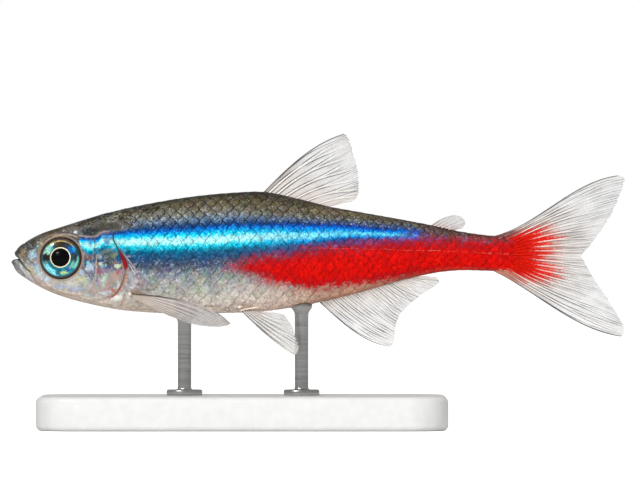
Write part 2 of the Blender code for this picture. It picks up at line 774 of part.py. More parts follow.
def main():
    clear_scene()
    fish = new_collection("neon_tetra")
    cutters = new_collection("cutters")
    details = new_collection("details")

    silver = material("silver_skin", (0.55, 0.55, 0.50), 0.3, 0.3)
    jaw_grey = material("jaw_skin", (0.45, 0.42, 0.40), 0.4)
    pearl = material("gill_cover_pearl", (0.62, 0.60, 0.62), 0.25, 0.4)
    blue = material("neon_flank", (0.02, 0.40, 0.75), 0.2, 0.5)
    red = material("red_flank", (0.70, 0.02, 0.01), 0.35)
    clear = material("clear_fin", (0.80, 0.80, 0.78), 0.4, alpha=0.6)
    tail_clear = material("tail_fin_clear", (0.85, 0.72, 0.70), 0.4, alpha=0.6)
    iris = material("iris", (0.10, 0.55, 0.62), 0.15, 0.5)
    white = material("stand_base_white", (0.80, 0.80, 0.79), 0.35)
    steel = material("stand_steel", (0.60, 0.60, 0.60), 0.25, 1.0)

    head(silver, fish, cutters, details)
    lower_jaw(jaw_grey, fish, cutters, details)
    trunk(blue, fish, cutters)
    tail_stalk(red, fish, cutters)
    middle_fins(clear, tail_clear, fish)
    for side, word in ((-1, "left"), (1, "right")):
        eyeball(f"eye_{word}", side, iris, fish)
        gill_cover(f"gill_cover_{word}", side, pearl, fish)
        paired_fins(side, word, clear, fish)

    stand_base(white, fish)
    belly_room = as_cutter(body_solid("belly_room", None, cutters, lift=GAP))
    for word, s in ROD_PLACES.items():
        stand_rod(f"stand_rod_{word}", s, belly_room, steel, fish)


main()
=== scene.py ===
# A neon tetra at life size, as a still museum model over a plain display stand.
# A place on the fish is (s, h) in millimetres: s back from the tip of the lower jaw, h above the body axis.
# The fish faces -X, its left side faces the camera at -Y, and the floor is at Z 0.

import math

import bmesh
import bpy
import numpy as np
from mathutils import Matrix, Vector

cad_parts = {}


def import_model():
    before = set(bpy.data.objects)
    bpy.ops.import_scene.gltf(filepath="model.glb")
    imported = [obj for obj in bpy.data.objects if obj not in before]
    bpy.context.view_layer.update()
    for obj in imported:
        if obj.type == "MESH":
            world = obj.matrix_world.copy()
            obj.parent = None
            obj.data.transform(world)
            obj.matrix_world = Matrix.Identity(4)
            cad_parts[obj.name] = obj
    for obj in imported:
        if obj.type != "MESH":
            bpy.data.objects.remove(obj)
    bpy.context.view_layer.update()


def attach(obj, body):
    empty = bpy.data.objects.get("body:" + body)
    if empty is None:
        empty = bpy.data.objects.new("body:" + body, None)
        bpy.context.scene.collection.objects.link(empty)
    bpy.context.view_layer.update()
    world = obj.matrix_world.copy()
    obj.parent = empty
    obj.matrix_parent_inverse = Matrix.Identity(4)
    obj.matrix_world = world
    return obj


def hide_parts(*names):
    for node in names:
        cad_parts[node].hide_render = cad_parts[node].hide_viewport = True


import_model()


# The picture: a long lens, level with the body axis and square to the fish's left side.
# One pixel of the photo is 0.0585 mm of the fish, and the photo's middle is 0.03 mm behind the model's.
MM = 0.001
PHOTO_WIDE = 640
PIXEL = 0.058537
LENS_AWAY = 600.0
SENSOR = 36.0
AXIS_HEIGHT = 11.1
PHOTO_MIDDLE = 0.03

lens = bpy.data.cameras.new("long_lens")
lens.sensor_width = SENSOR
lens.lens = SENSOR * LENS_AWAY / (PHOTO_WIDE * PIXEL)
lens.clip_start = 0.05
lens.clip_end = 20.0
camera = bpy.data.objects.new("long_lens", lens)
camera.location = Vector((PHOTO_MIDDLE, -LENS_AWAY, AXIS_HEIGHT)) * MM
camera.rotation_euler = (math.radians(90), 0.0, 0.0)
bpy.context.scene.collection.objects.link(camera)
bpy.context.scene.camera = camera
bpy.context.scene.view_settings.view_transform = "Standard"


# The floor: a wide sheet of white card. It runs to the horizon, where it meets the white of the room.
# It gives a little light of its own to the camera alone, so that it looks as white as the photo's.
FLOOR_HALF = 8.0
CARD_WHITE = 0.7
# What the second word of a node's kind sets
MODES = {"Math": "operation", "VectorMath": "operation", "Mix": "data_type"}


def paint(code):
    """A colour as the shaders take it, from its sRGB hex value or from a plain share of white."""
    if not isinstance(code, str):
        return (code, code, code, 1.0)
    shares = [int(code[i:i + 2], 16) / 255 for i in (1, 3, 5)]
    straight = [x / 12.92 if x <= 0.04045 else ((x + 0.055) / 1.055) ** 2.4 for x in shares]
    return (*straight, 1.0)


def node(tree, kind, *inputs, stops=(), give=None, **settings):
    """Adds a node, such as "Math MULTIPLY", and returns its first output or the one of the name to give.

    The inputs follow the order of the sockets that are in use, as values, sockets to link, or None.
    """
    kind, *mode = kind.split()
    made = tree.nodes.new("ShaderNode" + kind)
    if mode:
        settings = {MODES[kind]: mode[0], **settings}
    for name, value in settings.items():
        setattr(made, name, value)
    in_use = [socket for socket in made.inputs if socket.enabled]
    for socket, value in zip(in_use, inputs):
        if isinstance(value, bpy.types.NodeSocket):
            tree.links.new(value, socket)
        elif value is not None:
            socket.default_value = value
    if stops:
        ramp = made.color_ramp.elements
        for element, (at, code) in ((ramp[0], stops[0]), (ramp[1], stops[-1])):
            element.position, element.color = at, paint(code)
        for at, code in stops[1:-1]:
            ramp.new(at).color = paint(code)
    return next((socket for socket in made.outputs if socket.enabled and give in (None, socket.name)), None)


def new_finish(name):
    """A material, the function that adds nodes to it, and its Principled shader."""
    made = bpy.data.materials.new(name)
    made.use_nodes = True

    def add(kind, *inputs, **settings):
        return node(made.node_tree, kind, *inputs, **settings)

    return made, add, made.node_tree.nodes["Principled BSDF"]


def feed(shader, **sources):
    """Links sockets to a shader's inputs, which are named with _ for a space."""
    for name, source in sources.items():
        shader.id_data.links.new(source, shader.inputs[name.replace("_", " ")])


def mesh_of(name, sheet):
    """A mesh from a bmesh, which is freed."""
    data = bpy.data.meshes.new(name)
    sheet.to_mesh(data)
    sheet.free()
    return data


card, add, shader = new_finish("white_card")
shader.inputs["Base Color"].default_value = paint(CARD_WHITE)
shader.inputs["Roughness"].default_value = 0.9
shader.inputs["Specular IOR Level"].default_value = 0.0
shader.inputs["Emission Color"].default_value = paint("#FFFFFF")
feed(shader, Emission_Strength=add("Math MULTIPLY", add("LightPath", give="Is Camera Ray"), 0.85))
sheet = bmesh.new()
bmesh.ops.create_grid(sheet, x_segments=2, y_segments=2, size=FLOOR_HALF)
floor = bpy.data.objects.new("floor", mesh_of("floor", sheet))
floor.data.materials.append(card)
bpy.context.scene.collection.objects.link(floor)


# The light: a white room, a soft box over the snout's side, and weaker ones in front and behind.
# A small catch light does no more than put the glint in the eyes and on the wet skin.
# Each lamp is its name, place and size in metres, watts, and whether it is a catch light.
LAMPS = (
    ("key", (-0.28, -0.58, 0.34), 0.30, 3.1, False),
    ("front", (0.20, -0.62, 0.05), 0.50, 2.2, False),
    ("rear", (0.25, 0.50, 0.40), 0.45, 0.8, False),
    ("catch", (-0.34, -0.36, 0.48), 0.075, 2.0, True),
)
ROOM_STRENGTH = 0.38

for name, at, size, watts, glint in LAMPS:
    box = bpy.data.lights.new(name, "AREA")
    box.size = size
    box.energy = watts
    lamp = bpy.data.objects.new(name, box)
    lamp.location = at
    lamp.rotation_euler = Vector(at).to_track_quat("Z", "Y").to_euler()
    lamp.visible_camera = False
    lamp.visible_glossy = glint
    lamp.visible_diffuse = not glint
    bpy.context.scene.collection.objects.link(lamp)

room = bpy.data.worlds.new("white_room")
bpy.context.scene.world = room
room.use_nodes = True
air = room.node_tree
air.nodes.clear()
seen = node(air, "LightPath", give="Is Camera Ray")
glow = node(air, "Background", paint("#FFFFFF"), node(air, "Mix", seen, ROOM_STRENGTH, 1.0))
node(air, "OutputWorld", glow)


# The skin: one soft skin over the whole fish, from the lips to the root of the tail fin.
# It is a sheet of rows rolled round the body. On the trunk it lies under the scales by their depth,
# and on the bare head it carries the mouth, the nostrils, the rims of the eyes and the bony plates.
TOTAL_LENGTH = 36.0
FLESH_LENGTH = 30.1
# The body's sections: place along, heights of the back and the belly, half thickness, and how square it is
BODY = (
    (0.00, -0.74, -1.64, 0.50, 2.3),
    (0.60, -0.25, -2.11, 0.74, 2.5),
    (1.64, 0.34, -2.75, 1.12, 2.8),
    (2.87, 0.76, -3.28, 1.42, 3.0),
    (4.45, 1.26, -3.72, 1.62, 2.7),
    (6.32, 1.80, -4.09, 1.74, 2.4),
    (8.66, 2.28, -4.28, 1.80, 2.2),
    (11.00, 2.63, -4.32, 1.82, 2.2),
    (13.35, 2.83, -4.29, 1.79, 2.2),
    (14.87, 2.84, -4.20, 1.73, 2.2),
    (16.86, 2.43, -3.91, 1.60, 2.2),
    (18.61, 1.99, -3.54, 1.42, 2.2),
    (20.37, 1.67, -3.10, 1.20, 2.2),
    (22.71, 1.25, -2.43, 0.92, 2.2),
    (24.76, 0.86, -1.96, 0.70, 2.2),
    (26.22, 0.53, -1.81, 0.58, 2.2),
    (27.69, 0.32, -1.83, 0.48, 2.3),
    (28.86, 0.21, -1.86, 0.42, 2.4),
    (30.10, 0.04, -1.80, 0.34, 2.6),
)
SNOUT_ROUND, TAIL_ROUND = 0.35, 0.55
SKIN_ALONG, SKIN_AROUND = 400, 240
# Share of the skin's rows, and the place along the fish that they reach
ROW_SHARES = (0.0, 0.055, 0.50, 0.95, 1.0)
ROW_PLACES = (0.0, SNOUT_ROUND, 7.2, FLESH_LENGTH - TAIL_ROUND, FLESH_LENGTH)


def smooth_between(t, start, leave, end, arrive):
    """Places on a smooth curve, at shares t of the way between two ends with these slopes."""
    return (
        (2 * t**3 - 3 * t**2 + 1) * start + (t**3 - 2 * t**2 + t) * leave
        + (3 * t**2 - 2 * t**3) * end + (t**3 - t**2) * arrive
    )


def curve(table, at, column=1):
    """A column of the table at these places, on a smooth curve through its rows."""
    rows = np.array(table, float)
    x, y, last = rows[:, 0], rows[:, column], len(rows) - 1
    at = np.clip(at, x[0], x[-1])
    low = np.clip(np.searchsorted(x, at, side="right") - 1, 0, last - 1)
    before, after = np.maximum(np.arange(last + 1) - 1, 0), np.minimum(np.arange(last + 1) + 1, last)
    slope = (y[after] - y[before]) / (x[after] - x[before])
    span = x[low + 1] - x[low]
    t, leave, arrive = (at - x[low]) / span, span * slope[low], span * slope[low + 1]
    return smooth_between(t, y[low], leave, y[low + 1], arrive)


def ease(x, low, high):
    """Rises smoothly from 0 at low to 1 at high."""
    t = np.clip((x - low) / (high - low), 0.0, 1.0)
    return t * t * (3 - 2 * t)


def place_of_row(share):
    """Place along the fish of these rows: close on the head, wider behind, and even round both ends."""
    s = np.interp(share, ROW_SHARES, ROW_PLACES)
    nose = SNOUT_ROUND * (1 - np.cos(np.minimum(share / ROW_SHARES[1], 1.0) * np.pi / 2))
    end = np.minimum((1 - share) / (1 - ROW_SHARES[3]), 1.0)
    tail = FLESH_LENGTH - TAIL_ROUND * (1 - np.cos(end * np.pi / 2))
    return np.where(share < ROW_SHARES[1], nose, np.where(share > ROW_SHARES[3], tail, s))


def row_of_place(s):
    """The share of the rows that reaches these places: the other way round from place_of_row."""
    shares = np.linspace(0.0, 1.0, 4001)
    return np.interp(s, place_of_row(shares), shares)


def girth(s, shares):
    """Points (y, h) of the body's section at s, at shares of the way round, from the belly up the right."""
    back, belly, half, square = (float(curve(BODY, s, column)) for column in (1, 2, 3, 4))
    from_end = min(s / SNOUT_ROUND, (FLESH_LENGTH - s) / TAIL_ROUND, 1.0)
    blunt = math.sqrt(max(0.0, 1.0 - (1.0 - from_end) ** 2))
    half *= 1 - 0.70 * float(ease(s, 28.2, FLESH_LENGTH))
    turn = np.linspace(0.0, 2 * np.pi, 721)
    across, up = np.sin(turn), -np.cos(turn)
    y = np.sign(across) * np.abs(across) ** (2 / square) * half * blunt
    h = (back + belly) / 2 + np.sign(up) * np.abs(up) ** (2 / square) * (back - belly) / 2 * blunt
    walked = np.concatenate(([0.0], np.cumsum(np.hypot(np.diff(y), np.diff(h)))))
    at = shares * walked[-1]
    return np.interp(at, walked, y), np.interp(at, walked, h), walked[-1]


row_shares = np.linspace(0.0, 1.0, SKIN_ALONG + 1)
round_shares = np.linspace(0.0, 1.0, SKIN_AROUND + 1)
row_s = place_of_row(row_shares)
body = np.zeros((SKIN_ALONG + 1, SKIN_AROUND + 1, 3))
row_girth = np.zeros(SKIN_ALONG + 1)
for row, s in enumerate(row_s):
    y, h, row_girth[row] = girth(s, round_shares)
    body[row] = np.stack((np.full_like(y, s), y, h), axis=1)

# The way out of the skin at each of its points, from its slopes along and around
ahead = np.gradient(body, axis=0)
beside = np.empty_like(body)
beside[:, 1:-1] = body[:, 2:] - body[:, :-2]
beside[:, 0] = beside[:, -1] = body[:, 1] - body[:, -2]
outward = np.cross(beside, ahead)
outward[0], outward[-1] = (-1.0, 0.0, 0.0), (1.0, 0.0, 0.0)
outward /= np.maximum(np.linalg.norm(outward, axis=2, keepdims=True), 1e-12)
if outward[SKIN_ALONG // 2, SKIN_AROUND // 4, 1] < 0:
    outward = -outward
outward[0], outward[-1] = (-1.0, 0.0, 0.0), (1.0, 0.0, 0.0)


def softened(line, steps=5):
    """The line with more points, on a smooth curve through its own."""
    at = np.arange(len(line))
    fine = np.linspace(0, len(line) - 1, (len(line) - 1) * steps + 1)
    columns = [curve([(i, point[k]) for i, point in zip(at, line)], fine) for k in (0, 1)]
    return list(zip(*columns))


def off_line(s, h, line):
    """How far side-view places lie from a line, in millimetres."""
    best = np.full(np.shape(s), 99.0)
    for (s0, h0), (s1, h1) in zip(line, line[1:]):
        ds, dh = s1 - s0, h1 - h0
        t = np.clip(((s - s0) * ds + (h - h0) * dh) / (ds * ds + dh * dh), 0.0, 1.0)
        best = np.minimum(best, np.hypot(s - s0 - t * ds, h - h0 - t * dh))
    return best


def within(s, h, outline):
    """How far side-view places lie inside a closed outline: below 0 outside it."""
    closed = [*outline, outline[0]]
    odd = np.zeros(np.shape(s), bool)
    for (s0, h0), (s1, h1) in zip(closed, closed[1:]):
        crosses = (h0 > h) != (h1 > h)
        with np.errstate(divide="ignore", invalid="ignore"):
            odd ^= crosses & (s < (s1 - s0) * (h - h0) / (h1 - h0) + s0)
    return np.where(odd, 1.0, -1.0) * off_line(s, h, closed)


# Lines of the head in the side view, as (s, h) in millimetres
MOUTH = softened((
    (-0.30, -1.00), (0.10, -1.00), (0.30, -1.04), (0.57, -1.33), (0.84, -1.66), (1.07, -1.83),
))
UPPER_LIP = softened(((0.00, -0.70), (0.24, -0.74), (0.50, -0.98), (0.76, -1.36)))
LOWER_LIP = softened(((-0.10, -1.32), (0.12, -1.28), (0.40, -1.46), (0.70, -1.74), (0.98, -2.00)))
UPPER_JAW_BONE = softened((
    (0.36, -0.66), (0.52, -0.72), (0.84, -1.13), (1.06, -1.58), (1.29, -1.97), (1.47, -2.28), (1.56, -2.44),
    (1.48, -2.52), (1.30, -2.30), (1.14, -2.04), (0.96, -1.74), (0.68, -1.34), (0.46, -1.06), (0.34, -0.92),
))
SNOUT_NOTCH = softened(((0.70, -0.12), (0.80, -0.26), (0.86, -0.46), (0.80, -0.66)))
PREOPERCLE = softened((
    (4.80, 0.21), (4.89, -0.19), (4.88, -0.64), (4.93, -1.22), (4.95, -1.85), (4.83, -2.52),
    (4.51, -3.01), (3.93, -3.21), (3.17, -3.12), (2.45, -2.88), (2.00, -2.56), (1.69, -2.25),
))
GILL_PLATE = softened((
    (4.90, 0.05), (4.99, -0.80), (4.98, -1.81), (4.96, -2.48), (4.99, -2.90), (5.19, -3.15),
    (5.56, -3.29), (5.90, -3.19), (6.19, -2.92), (6.43, -2.58), (6.53, -2.14), (6.56, -1.74),
    (6.46, -1.27), (6.35, -0.80), (6.13, -0.40), (5.99, -0.03), (5.93, 0.25), (5.70, 0.47),
    (5.29, 0.45), (5.00, 0.24),
))
GILL_PLATE_SEAM = softened(((6.50, -1.74), (6.19, -2.14), (5.82, -2.58), (5.36, -2.89), (4.98, -2.99)))
GILL_SLIT = softened((
    (6.02, 0.35), (6.03, 0.00), (6.22, -0.42), (6.43, -0.80), (6.60, -1.25), (6.70, -1.65),
    (6.66, -2.14), (6.54, -2.58), (6.30, -2.96), (5.98, -3.26), (5.55, -3.48), (4.90, -3.66), (4.20, -3.80),
))
GILL_OPENING = (
    (6.31, -0.69), (6.40, -0.70), (6.63, -1.04), (6.79, -1.34), (6.83, -1.56), (6.69, -1.76),
    (6.57, -1.58), (6.50, -1.28), (6.40, -1.00),
)
GILL_SKIN = softened((
    (6.80, -1.62), (6.79, -1.85), (6.74, -2.16), (6.63, -2.50), (6.40, -2.88), (6.10, -3.18), (5.72, -3.42),
))
SHOULDER = softened((
    (6.45, -0.66), (6.95, -1.30), (7.30, -1.81), (7.54, -2.31), (7.77, -2.82), (7.95, -3.20),
))
EYE_PLACE = (2.89, -1.05)
CHEEK_SEAMS = (
    softened(((1.72, -1.62), (1.98, -2.02), (1.86, -2.40))),
    softened(((3.05, -2.40), (3.06, -2.80), (2.96, -3.08))),
    softened(((4.08, -1.98), (4.42, -2.20), (4.84, -2.26))),
    softened(((4.20, -0.92), (4.55, -0.86), (4.88, -0.88))),
    softened(((1.60, -1.28), (1.30, -1.22), (1.02, -0.86), (1.10, -0.62))),
    softened(((1.48, -0.30), (2.10, 0.28), (2.90, 0.50), (3.75, 0.32), (4.20, -0.20))),
)
NOSTRIL = (1.20, -0.34)
EYE_SEAT = 1.28
EYE_RADIUS = 1.22
EYE_YAW, EYE_PITCH = math.radians(6), math.radians(8)
COAT_DEPTH = 0.055
ORBIT_DEPTH, ORBIT_RIM, ORBIT_NEAR = 0.42, 0.030, 0.25
WELD = 0.0005
SCALES_FROM = (
    (-4.6, 8.9), (-3.9, 8.5), (-3.42, 8.0), (-3.0, 7.7), (-2.3, 7.50), (-1.8, 7.35), (-1.3, 7.12),
    (-0.6, 6.60), (0.18, 6.24), (0.6, 6.05), (1.2, 5.7), (1.6, 5.3), (2.6, 5.0),
)
# Ridges and grooves along the head's lines: line, half width, and how far it stands out
ROUND_RIDGES = ((UPPER_LIP, 0.11, 0.050), (LOWER_LIP, 0.11, 0.060), (SNOUT_NOTCH, 0.055, -0.030))
FLANK_RIDGES = (
    (GILL_PLATE_SEAM, 0.05, -0.020), (PREOPERCLE, 0.06, 0.040), (GILL_SLIT, 0.085, -0.13),
    (GILL_SKIN, 0.09, 0.035), (SHOULDER, 0.08, 0.030), *((seam, 0.045, -0.014) for seam in CHEEK_SEAMS),
)


def past_gill(s, h):
    """How far behind the front edge of the scales a place lies. The scales begin at the gill slit."""
    return s - curve(SCALES_FROM, h)


def ridged(s, h, ridges):
    """How far ridges and grooves raise the skin at side-view places."""
    return sum(high * np.exp(-(off_line(s, h, line) / half) ** 2) for line, half, high in ridges)


def relief(s, h, side_on):
    """How far the skin stands out at side-view places. side_on is 1 on the flank, 0 on back and belly."""
    plate = within(s, h, GILL_PLATE)
    from_nostril = np.hypot(s - NOSTRIL[0], h - NOSTRIL[1])
    flank = ridged(s, h, FLANK_RIDGES)
    flank += 0.045 * ease(within(s, h, UPPER_JAW_BONE), -0.04, 0.06)
    flank += 0.070 * ease(plate, -0.03, 0.10) + 0.020 * ease(plate, 0.05, 0.9)
    flank += 0.030 * np.exp(-((plate - 0.06) / 0.05) ** 2)
    flank -= 0.10 * ease(within(s, h, GILL_OPENING), -0.06, 0.06)
    flank += 0.035 * np.exp(-((from_nostril - 0.17) / 0.05) ** 2) - 0.06 * ease(from_nostril, 0.14, 0.05)
    lift = ridged(s, h, ROUND_RIDGES) - COAT_DEPTH * ease(past_gill(s, h), 0.10, 0.45)
    lift -= 0.060 * ease(s, 0.50, 0.10) * ease(h, -1.02, -0.86)
    lift -= 0.16 * np.exp(-((h + 1.02) / 0.16) ** 2) * ease(s, 0.40, 0.05)
    mouth_depth = (0.07 + 0.27 * ease(s, 1.10, 0.30)) * ease(s, 1.10, 0.80)
    mouth_wide = 0.052 + 0.018 * ease(s, 0.50, 0.15)
    lift -= mouth_depth * np.exp(-(off_line(s, h, MOUTH) / mouth_wide) ** 2)
    return lift + flank * side_on


def eye_frame(side):
    """The middle of an eye's seat and its way out, as arrays in millimetres."""
    out = np.array((-math.sin(EYE_YAW), side * math.cos(EYE_YAW), math.tan(EYE_PITCH)))
    return np.array((EYE_PLACE[0], side * EYE_SEAT, EYE_PLACE[1])), out / np.linalg.norm(out)


def open_orbit(points, side):
    """Sinks the skin under an eyeball, inside the ring of the orbit."""
    middle, out = eye_frame(side)
    off = points - middle
    height = off @ out
    ring = np.linalg.norm(off - height[..., None] * out, axis=-1)
    near = points[..., 1] * side > ORBIT_NEAR
    share = ease(ring, EYE_RADIUS + 0.020, EYE_RADIUS - 0.03)
    rim = ORBIT_RIM * np.exp(-((ring - EYE_RADIUS - 0.12) / 0.07) ** 2)
    return points + out * (near * (share * (-ORBIT_DEPTH - height) + rim))[..., None]


back_line, belly_line = curve(BODY, row_s, 1), curve(BODY, row_s, 2)
rise = (body[..., 2] - belly_line[:, None]) / (back_line - belly_line)[:, None]
side_on = ease(rise, 0.0, 0.10) * ease(rise, 1.0, 0.90)
skin_points = body + outward * relief(body[..., 0], body[..., 2], side_on)[..., None]
for side in (-1, 1):
    skin_points = open_orbit(skin_points, side)


def to_model(points):
    """Points (s, y, h) in millimetres as places of the model, in metres."""
    return (np.asarray(points) + (-TOTAL_LENGTH / 2, 0.0, AXIS_HEIGHT)) * MM


def from_model(places):
    """Places of the model as points (s, y, h) in millimetres."""
    return np.asarray(places) / MM - (-TOTAL_LENGTH / 2, 0.0, AXIS_HEIGHT)


def places_of(data):
    """The places of a mesh's vertices, as an array."""
    found = np.zeros(len(data.vertices) * 3)
    data.vertices.foreach_get("co", found)
    return found.reshape(-1, 3)


def move_to(piece, points):
    """Moves a piece's vertices to these points (s, y, h) in millimetres."""
    piece.data.vertices.foreach_set("co", to_model(points).astype(np.float32).ravel())


def record(piece, **values):
    """Gives a piece's vertices their values, or rows of four as colours, as attributes."""
    for name, amounts in values.items():
        kind, key = ("FLOAT", "value") if amounts.ndim == 1 else ("FLOAT_COLOR", "color")
        layer = piece.data.attributes.new(name, kind, "POINT")
        layer.data.foreach_set(key, amounts.astype(np.float32).ravel())


def new_piece(name, sheet, finish, slot, *nodes):
    """A shaded piece of the fish from a bmesh, which stands for these solids."""
    data = mesh_of(name, sheet)
    data.materials.append(finish)
    data.shade_smooth()
    piece = bpy.data.objects.new(name, data)
    bpy.context.scene.collection.objects.link(piece)
    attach(piece, "root")
    if nodes:
        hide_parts(*nodes)
    return piece


def roll_skin():
    """The skin's bmesh: a flat sheet of rows, rolled round the body and closed along the belly."""
    sheet = bmesh.new()
    sheet.loops.layers.uv.new("OFBake")
    bmesh.ops.create_grid(sheet, x_segments=SKIN_ALONG, y_segments=SKIN_AROUND, size=1.0, calc_uvs=True)
    for vertex in sheet.verts:
        row = round((vertex.co.x + 1) / 2 * SKIN_ALONG)
        column = round((vertex.co.y + 1) / 2 * SKIN_AROUND)
        vertex.co = to_model(skin_points[row, column])
    bmesh.ops.remove_doubles(sheet, verts=sheet.verts, dist=WELD * MM)
    bmesh.ops.dissolve_degenerate(sheet, edges=sheet.edges, dist=WELD * MM)
    bmesh.ops.recalc_face_normals(sheet, faces=sheet.faces)
    return sheet


# The markings. Above and below the stripe a place is told by its height from the stripe's edge,
# and inside it by its share of the stripe's width. The red is told by how far a place lies inside it.
# Both tables give the place along and the heights of the top and the bottom edge.
STRIPE = (
    (3.60, 0.00, -0.46),
    (4.05, 0.01, -0.50),
    (4.35, 0.01, -0.67),
    (5.10, 0.05, -0.66),
    (5.30, 0.26, -0.44),
    (5.77, 0.31, -0.48),
    (6.26, 0.38, -0.60),
    (7.20, 0.52, -0.62),
    (8.66, 0.62, -0.60),
    (11.00, 0.77, -0.55),
    (13.35, 0.91, -0.42),
    (15.70, 0.94, -0.30),
    (17.20, 0.90, -0.22),
    (19.20, 0.83, 0.00),
    (21.54, 0.64, 0.09),
    (23.00, 0.55, 0.10),
    (24.60, 0.34, 0.02),
    (26.50, 0.12, -0.14),
    (30.10, -0.10, -0.40),
)
STRIPE_ENDS = ((3.94, 4.12), (21.4, 25.7))
# On the head the stripe's white core lies higher, by this power, and further back it does so less and less
CORE_RAISED, CORE_RAISED_FADE = 0.34, (8.5, 5.5)
# Over this much height above the stripe its sharp start gives way to the nape's slow one
OVER_STRIPE = (0.05, 0.30)
NAPE = (4.5, 12.0)
REAR_TONES_FROM, REAR_TONES_AT = 11.5, 20.0
RED = (
    (12.75, -1.50, -1.60),
    (13.30, -1.30, -1.84),
    (13.93, -1.10, -2.07),
    (14.63, -0.98, -2.30),
    (15.98, -0.88, -2.72),
    (17.44, -0.58, -2.98),
    (19.20, -0.36, -2.86),
    (20.96, -0.18, -2.70),
    (22.13, -0.08, -2.55),
    (23.30, 0.02, -2.42),
    (25.05, 0.06, -2.28),
    (28.60, 0.08, -2.40),
    (29.40, 0.26, -2.60),
    (30.10, 0.95, -3.00),
)


def mark(piece, **finer):
    """Gives a piece the attributes that its markings are painted by, and returns its places (s, h)."""
    s, _, h = from_model(places_of(piece.data)).T
    top, bottom = curve(STRIPE, s, 1), curve(STRIPE, s, 2)
    rear = ease(s, REAR_TONES_FROM, REAR_TONES_AT)
    above = (top - h) * (1 + rear)
    power = 1 - CORE_RAISED * ease(s, *CORE_RAISED_FADE)
    within_stripe = np.clip((top - h) / (top - bottom), 0.0, 1.0) ** power
    band = np.where(h > top, above, np.where(h < bottom, 1.0 + bottom - h, within_stripe))
    # The stripe starts sharply at the eye, but the back's own tones come in slowly over the nape
    on_back = ease(h - top, *OVER_STRIPE)
    bright = ease(s, *STRIPE_ENDS[0]) * (1 - on_back) + ease(s, *NAPE) * on_back
    bright = bright * ease(s, STRIPE_ENDS[1][1], STRIPE_ENDS[1][0])
    red_top, red_bottom = curve(RED, s, 1), curve(RED, s, 2)
    red = np.minimum(np.minimum(red_top - h, h - red_bottom), (s - RED[0][0]) * 0.6)
    back, belly = curve(BODY, s, 1), curve(BODY, s, 2)
    rise = (h - belly) / np.maximum(back - belly, 0.2)
    record(piece, band=band, bright=bright, red=red, rise=rise, rear=rear, **finer)
    return s, h


